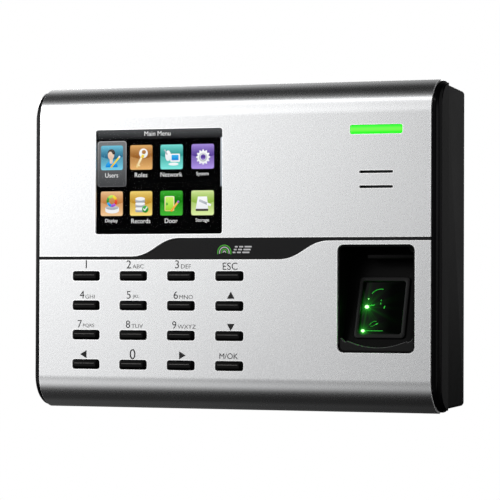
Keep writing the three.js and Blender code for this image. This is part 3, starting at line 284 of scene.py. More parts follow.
# Grain, handling marks and hairline scratches on one colour.
def makeFinishGroup(spec):
    tree, given, made = newGroup("finish", {
        "Colour": (0.5, 0.5, 0.5, 1), "Worn Colour": (0.6, 0.6, 0.6, 1), "Roughness": 0.4,
        "Roughness Spread": 0.1, "Grain Per Metre": 2000.0, "Marks Per Metre": 40.0,
        "Grain Tone": 0.1, "Scratches": 0.1,
    }, {"Colour": (0, 0, 0, 1), "Roughness": 0.0, "Height": 0.0})
    at = coordinates(tree, "Object")
    grain = noiseLevel(tree, at, given["Grain Per Metre"], spec["grainDetail"])
    marks = noiseLevel(tree, at, given["Marks Per Metre"], spec["marksDetail"])
    stretch = tree.nodes.new("ShaderNodeMapping")
    wire(tree, at, stretch.inputs["Vector"])
    wire(tree, spec["scratchTurn"], stretch.inputs["Rotation"])
    wire(tree, spec["scratchStretch"], stretch.inputs["Scale"])
    lines = noiseLevel(tree, stretch.outputs[0], given["Marks Per Metre"], spec["scratchDetail"])
    thin = tree.nodes.new("ShaderNodeMapRange")
    for label, value in zip(("Value", "From Min", "From Max"), (lines, *spec["scratchRange"])):
        wire(tree, value, thin.inputs[label])
    scratches = calc(tree, "MULTIPLY", thin.outputs[0], given["Scratches"])
    toned = calc(tree, "MULTIPLY", calc(tree, "SUBTRACT", grain, 0.5), given["Grain Tone"])
    worn = calc(tree, "ADD", toned, calc(tree, "MULTIPLY", marks, spec["marksTone"]))
    wornAndCut = calc(tree, "ADD", worn, scratches)
    wire(tree, mixColours(tree, wornAndCut, given["Colour"], given["Worn Colour"]), made["Colour"])
    spread = calc(tree, "SUBTRACT", calc(tree, "ADD", grain, marks), 1.0)
    change = calc(tree, "MULTIPLY", spread, given["Roughness Spread"])
    wire(tree, calc(tree, "ADD", given["Roughness"], change), made["Roughness"])
    wire(tree, calc(tree, "SUBTRACT", grain, scratches), made["Height"])
    return tree


# A fine lattice, such as a display's dots or a board's traces.
def makeLatticeGroup():
    tree, given, made = newGroup("lattice", {"Per Metre": 5000.0, "Depth": 0.2}, {"Level": 0.0})
    split = splitVector(tree, coordinates(tree, "Object"))
    waves = [
        calc(tree, "PINGPONG", calc(tree, "MULTIPLY", split[axis], given["Per Metre"]), 1.0)
        for axis in ("X", "Z")
    ]
    dark = calc(tree, "MULTIPLY", calc(tree, "MULTIPLY", *waves), given["Depth"])
    wire(tree, calc(tree, "SUBTRACT", 1.0, dark), made["Level"])
    return tree


paintedGlowSpec = {"haloFall": -2.2, "rayFall": -0.9, "raySharpness": 9.0, "rays": ((5.0, 0.4), (8.0, 1.9))}


# Painted glow round a lit point: a soft halo, and thin rays in the plane of the front.
def makePaintedGlowGroup(spec):
    tree, given, made = newGroup(
        "glow", {"Point": (0, 0, 0), "Reach": 0.003, "Rays": 0.5}, {"Level": 0.0},
    )
    vectorMath = "ShaderNodeVectorMath"
    at = coordinates(tree, "Object")
    away = calc(tree, "SUBTRACT", at, given["Point"], kind=vectorMath)
    far = calc(tree, "LENGTH", away, kind=vectorMath, output="Value")
    ratio = calc(tree, "DIVIDE", far, given["Reach"])
    halo, fade = (
        calc(tree, "EXPONENT", calc(tree, "MULTIPLY", ratio, spec[fall]))
        for fall in ("haloFall", "rayFall")
    )
    split = splitVector(tree, away)
    angle = calc(tree, "ARCTAN2", split["Z"], split["X"])
    spikes = []
    for count, shift in spec["rays"]:
        wave = calc(tree, "SINE", calc(tree, "MULTIPLY_ADD", angle, count, shift))
        spikes.append(calc(tree, "POWER", calc(tree, "ABSOLUTE", wave), spec["raySharpness"]))
    rays = calc(tree, "MULTIPLY", calc(tree, "ADD", *spikes), fade)
    weighted = calc(tree, "MULTIPLY", rays, given["Rays"])
    wire(tree, calc(tree, "ADD", halo, weighted), made["Level"])
    return tree


finishGroup = makeFinishGroup(wearSpec)
latticeGroup = makeLatticeGroup()
paintedGlowGroup = makePaintedGlowGroup(paintedGlowSpec)


def blankMaterial(name, values):
    material = bpy.data.materials.new(name)
    material.use_nodes = True
    shader = material.node_tree.nodes["Principled BSDF"].inputs
    for label, value in values.items():
        shader[label].default_value = value
    return material, material.node_tree, shader


def addGroup(tree, group, values):
    node = tree.nodes.new("ShaderNodeGroup")
    node.node_tree = group
    for label, value in values.items():
        node.inputs[label].default_value = value
    return node.outputs


def addFinish(tree, shader, values):
    detail = addGroup(tree, finishGroup, values)
    wire(tree, detail["Colour"], shader["Base Color"])
    wire(tree, detail["Roughness"], shader["Roughness"])
    return detail


def addBump(tree, shader, height, strength, distance):
    bump = tree.nodes.new("ShaderNodeBump")
    for label, value in (("Strength", strength), ("Distance", distance), ("Height", height)):
        wire(tree, value, bump.inputs[label])
    wire(tree, bump.outputs[0], shader["Normal"])


# Used where a finish doesn't say; grain and marks are sizes in millimetres, and a colour
# that is one number is a grey.
plainSurface = {
    "spread": 0.12, "grain": 0.5, "marks": 20, "tone": 0.15, "scratches": 0.1,
    "bump": 0.1, "bumpPerGrain": 0.3, "metallic": 0, "specular": 0.5, "coat": 0,
}


def levels(colour):
    return [colour] * 3 if isinstance(colour, (int, float)) else colour


def surface(name, given):
    spec = {**plainSurface, **given}
    material, tree, shader = blankMaterial(name, {
        "Metallic": spec["metallic"], "Specular IOR Level": spec["specular"],
        "Coat Weight": spec["coat"],
    })
    colour = levels(spec["colour"])
    worn = levels(spec.get("worn", [min(1, level * 1.25 + 0.01) for level in colour]))
    detail = addFinish(tree, shader, {
        "Colour": (*colour, 1), "Worn Colour": (*worn, 1),
        "Roughness": spec["roughness"], "Roughness Spread": spec["spread"],
        "Grain Per Metre": 1 / (spec["grain"] * mm), "Marks Per Metre": 1 / (spec["marks"] * mm),
        "Grain Tone": spec["tone"], "Scratches": spec["scratches"],
    })
    distance = spec["grain"] * mm * spec["bumpPerGrain"]
    addBump(tree, shader, detail["Height"], spec["bump"], distance)
    return material


blackPaint = dict(grain=0.35, marks=12, tone=0.4, bump=0.2)
ink = dict(roughness=0.5, grain=0.2, marks=5, bump=0.1, specular=0.3)
surfaceSpecs = {
    "blasted_metal": dict(
        colour=(0.7, 0.705, 0.715), worn=(0.93, 0.935, 0.94), roughness=0.27, spread=0.05,
        grain=0.52, marks=60, tone=0.85, bump=0.035, scratches=0, metallic=1,
    ),
    # painted highlight: a bright flat band on the sheet's front along its outline and every opening
    "painted_edge_highlight": dict(
        colour=(0.98, 0.985, 0.99), worn=1, roughness=0.22, grain=0.3, marks=12, bump=0.02,
        scratches=0, metallic=1,
    ),
    # the sheet's own cut edges, made near-white and partly matte: partly real metal, partly painted
    # highlight
    "cut_edge_and_painted_highlight": dict(
        colour=(0.96, 0.965, 0.97), worn=0.99, roughness=0.5, grain=0.15, marks=6, bump=0.08,
        metallic=0.25,
    ),
    "dark_strip": dict(
        colour=(0.0085, 0.0085, 0.009), worn=(0.014, 0.014, 0.015), roughness=0.3, grain=0.3,
        marks=25, specular=0.14,
    ),
    "gloss_black": dict(
        colour=(0.0025, 0.0025, 0.003), worn=(0.006, 0.006, 0.007), roughness=0.15, spread=0.05,
        grain=0.6, marks=35, bump=0.04, specular=0.12,
    ),
    "satin_black": dict(
        colour=(0.012, 0.012, 0.0125), worn=(0.02, 0.02, 0.021), roughness=0.4, grain=0.55,
        marks=22, tone=0.5, bump=0.3, specular=0.4,
    ),
    "matte_black": dict(
        colour=(0.016, 0.016, 0.017), worn=0.028, roughness=0.46, grain=0.35, marks=12,
        tone=0.4, bump=0.25, specular=0.35,
    ),
    "recess_black": dict(colour=0.0016, worn=0.003, roughness=0.42, specular=0.06, **blackPaint),
    "frame_black": dict(colour=0.004, worn=0.008, roughness=0.34, specular=0.16, **blackPaint),
    # painted highlight: a lighter grey for the lip's rounded edges and walls
    "lip_edge_highlight": dict(
        colour=(0.1, 0.1, 0.102), worn=(0.14, 0.14, 0.142), roughness=0.42, **blackPaint,
    ),
    "key_black": dict(
        colour=0.0015, worn=(0.004, 0.0038, 0.0035), roughness=0.14, spread=0.05, grain=0.3,
        marks=8, bump=0.03, specular=0.05,
    ),
    # painted highlight: a lighter grey strip on each black key where its gloss catches the light
    "key_painted_highlight": dict(
        colour=(0.14, 0.135, 0.13), worn=(0.18, 0.175, 0.17), roughness=0.3, grain=0.3, marks=6,
        bump=0.05, specular=0.3,
    ),
    "print_grey": dict(colour=0.01, worn=0.02, **ink),
    "print_light": dict(colour=(0.12, 0.118, 0.115), worn=(0.19, 0.185, 0.18), **ink),
    "mark_pale": dict(colour=(0.8, 0.8, 0.81), worn=(0.86, 0.86, 0.87), **ink),
    "mark_green": dict(colour=(0.1, 0.66, 0.05), worn=(0.14, 0.72, 0.09), **ink),
    "foam": dict(colour=0.012, roughness=0.95, grain=0.8, bump=0.6, tone=0.8, specular=0.2),
    "ribbon": dict(
        colour=(0.42, 0.17, 0.035), roughness=0.42, grain=0.6, marks=3, bump=0.12, coat=0.3,
    ),
    "silicone": dict(colour=(0.26, 0.27, 0.28), roughness=0.75, bump=0.2),
    "speaker": dict(colour=(0.03, 0.032, 0.035), roughness=0.55, grain=0.4, bump=0.4, metallic=0.3),
    "connector": dict(colour=(0.012, 0.012, 0.0125), roughness=0.5, grain=0.4, bump=0.25, tone=0.5),
    "wiring": dict(colour=(0.018, 0.16, 0.055), roughness=0.5, grain=0.4, bump=0.2),
    "steel": dict(
        colour=(0.42, 0.43, 0.44), worn=0.62, roughness=0.42, grain=1.2, marks=14, tone=0.6,
        bump=0.15, scratches=0.3, metallic=1,
    ),
    "screw_steel": dict(
        colour=(0.5, 0.5, 0.49), worn=(0.72, 0.71, 0.69), roughness=0.28, grain=0.2, marks=2,
        bump=0.2, scratches=0.4, metallic=1,
    ),
    "tinned": dict(
        colour=(0.66, 0.67, 0.68), worn=0.8, roughness=0.26, marks=7, bump=0.12, scratches=0.3,
        metallic=1,
    ),
    "nylon": dict(colour=(0.72, 0.7, 0.64), roughness=0.5, grain=0.3, bump=0.15),
    "emitter": dict(colour=(0.05, 0.45, 0.06), roughness=0.3, grain=0.3),
}
finishes = {name: surface(name, spec) for name, spec in surfaceSpecs.items()}
circuitSpec = {
    "finish": {
        "Colour": (0.006, 0.070, 0.024, 1), "Worn Colour": (0.020, 0.15, 0.05, 1),
        "Grain Per Metre": 900.0, "Grain Tone": 1.2, "Roughness": 0.38,
    },
    "copper": (0.03, 0.20, 0.07, 1),
    "traces": {"Per Metre": 620.0, "Depth": 1.6},
    "bump": (0.2, 0.0001),
}
lensSpec = {
    "Colour": (1, 1, 1, 1), "Worn Colour": (0.93, 0.95, 0.96, 1), "Roughness": 0.012,
    "Roughness Spread": 0.01, "Grain Per Metre": 300.0, "Grain Tone": 0.1, "Scratches": 0.2,
}


# Green solder mask over copper traces.
def makeCircuit(spec):
    material, tree, shader = blankMaterial("circuit", {"Coat Weight": 0.3})
    traces = addGroup(tree, latticeGroup, spec["traces"])["Level"]
    detail = addFinish(tree, shader, spec["finish"])
    mask = mixColours(tree, traces, spec["copper"], detail["Colour"])
    wire(tree, mask, shader["Base Color"])
    addBump(tree, shader, traces, *spec["bump"])
    return material


# Thin hard-coated clear window.
def makeLens(spec):
    material, tree, shader = blankMaterial(
        "clear_lens", {"Metallic": 0, "Transmission Weight": 1, "IOR": 1.05},
    )
    addFinish(tree, shader, spec)
    return material


finishes["circuit"] = makeCircuit(circuitSpec)
finishes["clear_lens"] = makeLens(lensSpec)

# The pieces that keep their plain shape.
nodeFinish = {
    "foam": ["display_gasket"],
    "ribbon": ["display_ribbon"],
    "silicone": ["keypad_mat"],
    "circuit": ["keypad_board", "indicator_board", "main_board", "sensor_board"],
    "emitter": ["sensor_led_lower", "sensor_led_upper"],
    "connector": [
        "tamper_switch", "reset_switch", "battery_holder", "sensor_case", "sensor_lens",
    ],
    "screw_steel": [f"{kind}_screw_{i}" for kind in ("case", "board") for i in range(1, 5)],
    "nylon": ["reset_button"],
    "matte_black": ["lcd_module"],
}
print("materials made")


# A rounded rectangle as points (x, z), anticlockwise seen from the front.
def roundedLoop(middle, size, radius, steps=6):
    points = []
    for signX, signZ, start in ((1, 1, 0), (-1, 1, 90), (-1, -1, 180), (1, -1, 270)):
        x = middle[0] + signX * (size[0] / 2 - radius)
        z = middle[1] + signZ * (size[1] / 2 - radius)
        turns = [radians(start + 90 * step / steps) for step in range(steps + 1)]
        points += [Vector((x + radius * cos(t), z + radius * sin(t))) for t in turns]
    return points


# Moves a closed loop to its left, which is inwards on an anticlockwise one.
def insetLoop(points, distance):
    moved = []
    for index, here in enumerate(points):
        before = points[index - 1]
        after = points[(index + 1) % len(points)]
        first = (here - before).normalized()
        second = (after - here).normalized()
        sideA = Vector((-first.y, first.x))
        sideB = Vector((-second.y, second.x))
        moved.append(here + (sideA + sideB) * (distance / (1 + sideA.dot(sideB))))
    return moved


def ringOf(mesh, points, y):
    return [mesh.verts.new((x, y, z)) for x, z in points]


def joinRings(mesh, near, far, materialIndex):
    for index in range(len(near)):
        face = mesh.faces.new((near[index - 1], near[index], far[index], far[index - 1]))
        face.material_index = materialIndex
        face.smooth = True


def closeRings(mesh, rings, materialIndex):
    edges = [
        mesh.edges.get((ring[index - 1], ring[index])) for ring in rings
        for index in range(len(ring))
    ]
    made = bmesh.ops.triangle_fill(mesh, use_beauty=True, use_dissolve=False, edges=edges)
    for item in made["geom"]:
        if isinstance(item, bmesh.types.BMFace):
            item.material_index = materialIndex
            item.smooth = True


# A flat plate in the XZ plane with rounded front edges; the loops after the first are holes.
def plate(loops, frontY, backY, rounding, edgeIndex=1, segments=3, mesh=None, band=0):
    mesh = mesh or bmesh.new()
    firsts, lasts = [], []
    for number, points in enumerate(loops):
        loop = points if number == 0 else list(reversed(points))
        rings = []
        for step in range(segments + 1):
            angle = pi / 2 * step / segments
            inset = rounding * (1 - sin(angle))
            depth = rounding * (1 - cos(angle))
            rings.append(ringOf(mesh, insetLoop(loop, inset), frontY + depth))
        rings.append(ringOf(mesh, loop, backY))
        if band:
            rings.insert(0, ringOf(mesh, insetLoop(loop, rounding + band), frontY))
            joinRings(mesh, rings[0], rings[1], 2)
        walls = rings[1:] if band else rings
        for near, far in zip(walls, walls[1:]):
            joinRings(mesh, near, far, edgeIndex)
        firsts.append(rings[0])
        lasts.append(rings[-1])
    closeRings(mesh, firsts, 0)
    closeRings(mesh, lasts, 0)
    return mesh


def absorb(target, source):
    data = bpy.data.meshes.new("part")
    source.to_mesh(data)
    source.free()
    target.from_mesh(data)
    bpy.data.meshes.remove(data)


def markSharp(mesh, degrees):
    for edge in mesh.edges:
        faces = edge.link_faces
        joined = len(faces) == 2 and faces[0].material_index == faces[1].material_index
        edge.smooth = joined and edge.calc_face_angle(0) < radians(degrees)


def place(mesh, name, finishNames, slotName, *nodes, body="terminal", sharp=40):
    bmesh.ops.remove_doubles(mesh, verts=mesh.verts, dist=1e-7)
    bmesh.ops.recalc_face_normals(mesh, faces=mesh.faces)
    markSharp(mesh, sharp)
    data = bpy.data.meshes.new(name)
    mesh.to_mesh(data)
    mesh.free()
    for finishName in finishNames:
        data.materials.append(finishes[finishName])
    piece = bpy.data.objects.new(name, data)
    scene.collection.objects.link(piece)
    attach(piece, body)
    if nodes:
        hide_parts(*nodes)
    return piece


def roundEdges(piece, width, segments, degrees):
    bevel = piece.modifiers.new("rounded edges", "BEVEL")
    bevel.width = width
    bevel.segments = segments
    bevel.limit_method = "ANGLE"
    bevel.angle_limit = radians(degrees)
    bevel.harden_normals = True


softSharp = 33  # degrees between faces that make an edge
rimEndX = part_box("front_housing")[1].x - 0.12 * mm  # satin beyond this, where split


# A carried-over CAD shape with its flat triangles merged and its edges slightly rounded.
def softened(node, spec):
    mesh = bmesh.new()
    mesh.from_mesh(frame["nodes"][node].data)
    bmesh.ops.remove_doubles(mesh, verts=mesh.verts, dist=2e-6)
    bmesh.ops.dissolve_limit(
        mesh, angle_limit=radians(0.6), use_dissolve_boundaries=False,
        verts=mesh.verts, edges=mesh.edges, delimit={"NORMAL"},
    )
    for face in mesh.faces:
        face.smooth = True
        middle = face.calc_center_median()
        atSide = abs(middle.x) > rimEndX and abs(face.normal.x) > 0.3
        face.material_index = int(atSide and "split" in spec)
    piece = place(
        mesh, f"{node}_shape", spec["finish"], spec.get("slot", spec["finish"][0]), node,
        body=frame["nodes"][node]["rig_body"], sharp=softSharp,
    )
    roundEdges(piece, spec["rounding"] * mm, 2, softSharp)


for finishName, names in nodeFinish.items():
    for nodeName in names:
        node = frame["nodes"][nodeName]
        node.data.materials.clear()
        node.data.materials.append(finishes[finishName])


low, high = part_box("upper_face_panel")
panelSpec = {
    "halfWidth": high.x,
    "thickness": 1.0 * mm,
    "wrap": high.y - low.y,
    "bend": 13.4 * mm,
    "rounding": 0.12 * mm,
    # width of the flat painted highlight band along every edge of the front
    "highlightBand": 0.26 * mm,
    "cuts": 40,
    "upperEdge": (low.z, 3.65 * mm, -33.4 * mm),
    "lowerEdge": (-5.15 * mm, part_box("lower_face_panel")[1].z, 32.8 * mm),
    "curveWidth": 22.3 * mm,
    "ease": 0.45,
    "displayMiddle": (-32.2 * mm, 27.0 * mm),
    "displaySize": (57.6 * mm, 43.2 * mm),
    "columnX": 63.9 * mm,
    "indicatorZ": 46.8 * mm,
    "indicatorSize": (22.4 * mm, 3.6 * mm),
    "slotZs": (29.8 * mm, 23.8 * mm),
    "slotSize": (14.4 * mm, 1.0 * mm),
    "fingerMiddleZ": -20.95 * mm,
    "fingerSize": (33.1 * mm, 43.3 * mm),
    "keyOpening": (12.5 * mm, 3.95 * mm),
}
keyNodes = [
    ["key_1", "key_2", "key_3", "key_esc"],
    ["key_4", "key_5", "key_6", "key_up"],
    ["key_7", "key_8", "key_9", "key_down"],
    ["key_left", "key_0", "key_right", "key_ok"],
]


def middleOf(node):
    lowCorner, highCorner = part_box(node)
    return (lowCorner + highCorner) / 2


# The S-shaped edge from left to right as points (x, z).
def easedEdge(edge, spec, steps=28):
    leftZ, rightZ, curveX = edge
    start = curveX - spec["curveWidth"] / 2
    end = curveX + spec["curveWidth"] / 2
    reach = spec["ease"] * spec["curveWidth"]
    knots = [(start, leftZ), (start + reach, leftZ), (end - reach, rightZ), (end, rightZ)]
    points = []
    for step in range(steps + 1):
        t = step / steps
        weights = ((1 - t) ** 3, 3 * t * (1 - t) ** 2, 3 * t * t * (1 - t), t ** 3)
        points.append(Vector((
            sum(w * k[0] for w, k in zip(weights, knots)),
            sum(w * k[1] for w, k in zip(weights, knots)),
        )))
    return points


# Cuts the flat sheet across its rolled end and wraps it round the bend radius.
def rollSheet(mesh, spec, bendStart):
    radius = spec["bend"]
    arc = radius * acos(1 - spec["wrap"] / radius)
    places = [bendStart - 0.3 * mm] + [
        bendStart + arc * index / spec["cuts"] for index in range(spec["cuts"])
    ]
    for side in (1, -1):
        for height in places:
            bmesh.ops.bisect_plane(
                mesh, geom=mesh.verts[:] + mesh.edges[:] + mesh.faces[:], dist=1e-7,
                plane_co=(0, 0, side * height), plane_no=(0, 0, 1),
            )
    for vert in mesh.verts:
        beyondBend = abs(vert.co.z) - bendStart
        if beyondBend > 0:
            inner = radius - (vert.co.y - faceY)
            angle = beyondBend / radius
            vert.co.y = faceY + radius - inner * cos(angle)
            vert.co.z = copysign(bendStart + inner * sin(angle), vert.co.z)


def makePanels(spec):
    radius = spec["bend"]
    bendStart = abs(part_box("lower_face_panel")[0].z) - radius * sin(
        acos(1 - spec["wrap"] / radius)
    )
    farZ = bendStart + radius * acos(1 - spec["wrap"] / radius)
    half = spec["halfWidth"]
    column = spec["columnX"]
    sheets = {
        "upper": (
            [Vector((-half, spec["upperEdge"][0]))]
            + easedEdge(spec["upperEdge"], spec)
            + [Vector((half, spec["upperEdge"][1])), Vector((half, farZ)), Vector((-half, farZ))],
            [
                roundedLoop(spec["displayMiddle"], spec["displaySize"], 1.0 * mm),
                roundedLoop((column, spec["indicatorZ"]), spec["indicatorSize"], 0.8 * mm),
            ] + [
                roundedLoop((column, z), spec["slotSize"], 0.45 * mm) for z in spec["slotZs"]
            ],
        ),
        "lower": (
            [Vector((half, spec["lowerEdge"][1]))]
            + list(reversed(easedEdge(spec["lowerEdge"], spec)))
            + [Vector((-half, spec["lowerEdge"][0])), Vector((-half, -farZ)), Vector((half, -farZ))],
            [roundedLoop((column, spec["fingerMiddleZ"]), spec["fingerSize"], 2.5 * mm)] + [
                roundedLoop((middleOf(key).x, middleOf(key).z), spec["keyOpening"], 1.0 * mm)
                for row in keyNodes for key in row
            ],
        ),
    }
    for name, (outline, holes) in sheets.items():
        mesh = plate(
            [outline] + holes, faceY, faceY + spec["thickness"], spec["rounding"],
            band=spec["highlightBand"],
        )
        rollSheet(mesh, spec, bendStart)
        place(
            mesh, f"{name}_panel",
            ["blasted_metal", "cut_edge_and_painted_highlight", "painted_edge_highlight"],
            "blasted_metal", f"{name}_face_panel",
        )


makePanels(panelSpec)
print("metal face made")


softSpecs = {
    "front_housing": {"finish": ["gloss_black", "satin_black"], "rounding": 0.12, "split": True},
    "back_shell": {"finish": ["satin_black"], "rounding": 0.3, "slot": "matte_black"},
    "accent_strip": {"finish": ["dark_strip"], "rounding": 0.12},
    "wall_bracket": {"finish": ["steel"], "rounding": 0.25},
    "security_screw": {"finish": ["screw_steel"], "rounding": 0.1},
    "ethernet_jack": {"finish": ["tinned"], "rounding": 0.15},
    "usb_port": {"finish": ["tinned"], "rounding": 0.08},
    "power_jack": {"finish": ["connector"], "rounding": 0.2},
    "terminal_block": {"finish": ["wiring"], "rounding": 0.12},
    "tamper_plunger": {"finish": ["nylon"], "rounding": 0.1},
    "speaker": {"finish": ["speaker"], "rounding": 0.2},
    "clock_battery": {"finish": ["tinned"], "rounding": 0.2},
}
for nodeName, softSpec in softSpecs.items():
    softened(nodeName, softSpec)
print("housing and fittings made")


# Walls from ring to ring, closed at both ends.
def stackRings(mesh, rings):
    for near, far in zip(rings, rings[1:]):
        joinRings(mesh, near, far, 0)
    for end in (rings[0], rings[-1]):
        closeRings(mesh, [end], 0)


keySpec = {
    "size": (12.1 * mm, 3.55 * mm),
    "corner": 0.85 * mm,
    "crownCorner": 0.25 * mm,
    "crownDrop": 0.15 * mm,
    "proud": 0.95 * mm,
    "skirt": 2.0 * mm,
    "facet": 0.62 * mm,
    "endFacet": 1.35,  # times the facet above and below
    "facetDrop": 0.34 * mm,
    "edge": 0.25 * mm,
    "edgeDrop": 0.3 * mm,
    # where the painted highlight strip lies on each key, and how far it stands
    "highlightUp": 0.42 * mm,
    "highlightHeight": 0.26 * mm,
    "highlightProud": 0.04 * mm,
    "highlightEnds": (1.1 * mm, 1.9 * mm),
    "highlightCorner": 0.1 * mm,
    "rounding": 0.12 * mm,
}


# A bar with a flat crown, a shallow facet round it and a small rounded edge, and a lighter grey strip
# across the crown's upper part that is a painted highlight.
def keyCap(middle, spec):
    mesh = bmesh.new()
    frontY = faceY - spec["proud"]
    outline = roundedLoop((middle.x, middle.z), spec["size"], spec["corner"])
    inner = insetLoop(outline, spec["edge"])
    facetHeight = spec["size"][1] - 2 * (spec["edge"] + spec["facet"])
    crown = roundedLoop(
        (middle.x, middle.z - spec["crownDrop"]),
        (spec["size"][0] - 2 * (spec["edge"] + spec["endFacet"] * spec["facet"]), facetHeight),
        spec["crownCorner"],
    )
    stackRings(mesh, [
        ringOf(mesh, crown, frontY),
        ringOf(mesh, inner, frontY + spec["facetDrop"]),
        ringOf(mesh, outline, frontY + spec["facetDrop"] + spec["edgeDrop"]),
        ringOf(mesh, outline, faceY + spec["skirt"]),
    ])
    # the lighter strip is a painted highlight, not a raised ridge
    left = middle.x - spec["size"][0] / 2 + spec["highlightEnds"][0]
    right = middle.x + spec["size"][0] / 2 - spec["highlightEnds"][1]
    paintedHighlight = plate(
        [roundedLoop(
            ((left + right) / 2, middle.z + spec["highlightUp"]), (right - left, spec["highlightHeight"]),
            spec["highlightCorner"], 3,
        )],
        frontY - spec["highlightProud"], frontY + spec["highlightProud"], 0.02 * mm, 0, 1,
    )
    for face in paintedHighlight.faces:
        face.material_index = 1
    absorb(mesh, paintedHighlight)
    return mesh


for row in keyNodes:
    for key in row:
        cap = place(
            keyCap(middleOf(key), keySpec), f"{key}_cap", ["key_black", "key_painted_highlight"],
            "key_black", key, body=f"{key}_body", sharp=35,
        )
        roundEdges(cap, keySpec["rounding"], 3, 24)
print("keys made")


# Text, height of its capitals, left edge and foot, in millimetres from each key's middle.
legendSpec = {
    "key_1": [("1", 3.45, 0.0, 3.1)],
    "key_2": [("2", 3.4, -3.1, 3.1), ("abc", 1.7, -0.35, 3.1)],
    "key_3": [("3", 3.4, -2.7, 3.1), ("def", 1.7, 0.0, 3.1)],
    "key_esc": [("ESC", 3.0, -3.0, 2.5)],
    "key_4": [("4", 3.2, -3.0, 2.85), ("ghi", 1.7, -0.4, 2.75)],
    "key_5": [("5", 3.2, -2.95, 2.8), ("jkl", 1.7, -0.25, 2.75)],
    "key_6": [("6", 3.2, -3.3, 2.8), ("mno", 1.7, -0.75, 2.75)],
    "key_7": [("7", 3.1, -3.9, 2.95), ("pqrs", 1.7, -1.45, 2.9)],
    "key_8": [("8", 3.1, -3.3, 2.95), ("tuv", 1.7, -0.75, 2.9)],
    "key_9": [("9", 3.1, -3.9, 2.8), ("wxyz", 1.7, -1.45, 2.8)],
    "key_0": [("0", 4.2, -1.5, 2.25)],
    "key_ok": [("M/OK", 2.35, -4.3, 2.85)],
}
arrowSpec = {
    "key_up": (0.65, 3.95, 90),
    "key_down": (0.65, 4.0, 270),
    "key_left": (-0.7, 4.1, 180),
    "key_right": (0.25, 4.1, 0),
}
arrowReach = 1.95 * mm
smallWiden = 1.12
printY = faceY - 0.012 * mm


# Upright letters facing the front, with their lower left corner at the origin.
def textMesh(text, height, widen=1.0):
    curve = bpy.data.curves.new("letters", "FONT")
    curve.body = text
    curve.extrude = 0.01 * mm
    curve.resolution_u = 4
    holder = bpy.data.objects.new("letters", curve)
    scene.collection.objects.link(holder)
    mesh = bmesh.new()
    shown = holder.evaluated_get(bpy.context.evaluated_depsgraph_get())
    solid = bpy.data.meshes.new_from_object(shown)
    mesh.from_mesh(solid)
    bpy.data.objects.remove(holder)
    bpy.data.curves.remove(curve)
    bpy.data.meshes.remove(solid)
    lows = [min(v.co[axis] for v in mesh.verts) for axis in (0, 1)]
    tall = max(v.co.y for v in mesh.verts) - lows[1]
    scale = height / tall
    for vert in mesh.verts:
        x, y, z = vert.co
        vert.co = ((x - lows[0]) * scale * widen, -z, (y - lows[1]) * scale)
    return mesh


def moved(mesh, offset):
    bmesh.ops.translate(mesh, verts=mesh.verts, vec=offset)
    return mesh


def widthOf(mesh):
    return max(v.co.x for v in mesh.verts) - min(v.co.x for v in mesh.verts)


def arrowLoop(centre, size, degrees):
    turns = [radians(degrees + corner) for corner in (0, 120, 240)]
    return [Vector((centre[0] + size * cos(t), centre[1] + size * sin(t))) for t in turns]


def makeLegends():
    big, small = bmesh.new(), bmesh.new()
    for key, lines in legendSpec.items():
        middle = middleOf(key)
        for text, height, left, foot in lines:
            isSmall = text.islower()
            letters = textMesh(text.upper(), height * mm, smallWiden if isSmall else 1.0)
            if text == "1":  # centred on its key
                left = -widthOf(letters) / mm / 2
            moved(letters, (middle.x + left * mm, printY, middle.z + foot * mm))
            absorb(small if isSmall else big, letters)
    for key, (right, up, degrees) in arrowSpec.items():
        middle = middleOf(key)
        loop = arrowLoop((middle.x + right * mm, middle.z + up * mm), arrowReach, degrees)
        absorb(big, plate([loop], printY - 0.01 * mm, printY + 0.01 * mm, 0.005 * mm, 0, 1))
    place(big, "legends", ["print_grey"], "matte_black")
    place(small, "small_legends", ["print_light"], "matte_black")


makeLegends()
print("legends made")

# Nested ridges like a fingertip's, and a few plain bars, printed on the strip.
markSpec = {
    "middle": (-2.5, -2.3),
    "radii": (0.55, 1.35, 2.15, 2.95),
    "sweep": (-14, 194),
    "line": 0.42,
    "bars": (3.7, 5.6, 8.0),
    "barWidths": (1.3, 1.8, 3.2),
    "barHeight": 0.62,
    "barRows": 3,
    "gapAbove": 1.15,
    "rowShift": 0.5,
    "barCorner": 0.2,
    "thick": 0.02,
}


def arcLoop(middle, radius, line, start, end, steps=14):
    turns = [radians(start + (end - start) * step / steps) for step in range(steps + 1)]
    outer = [(radius + line / 2, turn) for turn in turns]
    inner = [(radius - line / 2, turn) for turn in reversed(turns)]
    return [
        Vector(((middle[0] + r * cos(t)) * mm, (middle[1] + r * sin(t)) * mm))
        for r, t in outer + inner
    ]


def makeMark(spec):
    pale, green = bmesh.new(), bmesh.new()
    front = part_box("accent_strip")[0].y - 0.012 * mm
    x, z = spec["middle"]

    def stamp(target, loop):
        absorb(target, plate([loop], front, front + spec["thick"] * mm, 0.004 * mm, 0, 1))

    for index, radius in enumerate(spec["radii"]):
        stamp(green if index % 2 else pale, arcLoop((x, z), radius, spec["line"], *spec["sweep"]))
    for row in range(spec["barRows"]):
        height = z + row * spec["gapAbove"]
        for left, width in zip(spec["bars"], spec["barWidths"]):
            middle = ((x + left + row * spec["rowShift"] + width / 2) * mm, height * mm)
            size = (width * mm, spec["barHeight"] * mm)
            stamp(pale, roundedLoop(middle, size, spec["barCorner"] * mm, 3))
    place(pale, "strip_mark", ["mark_pale"], "dark_strip")
    place(green, "strip_mark_green", ["mark_green"], "dark_strip")


makeMark(markSpec)
print("strip mark made")


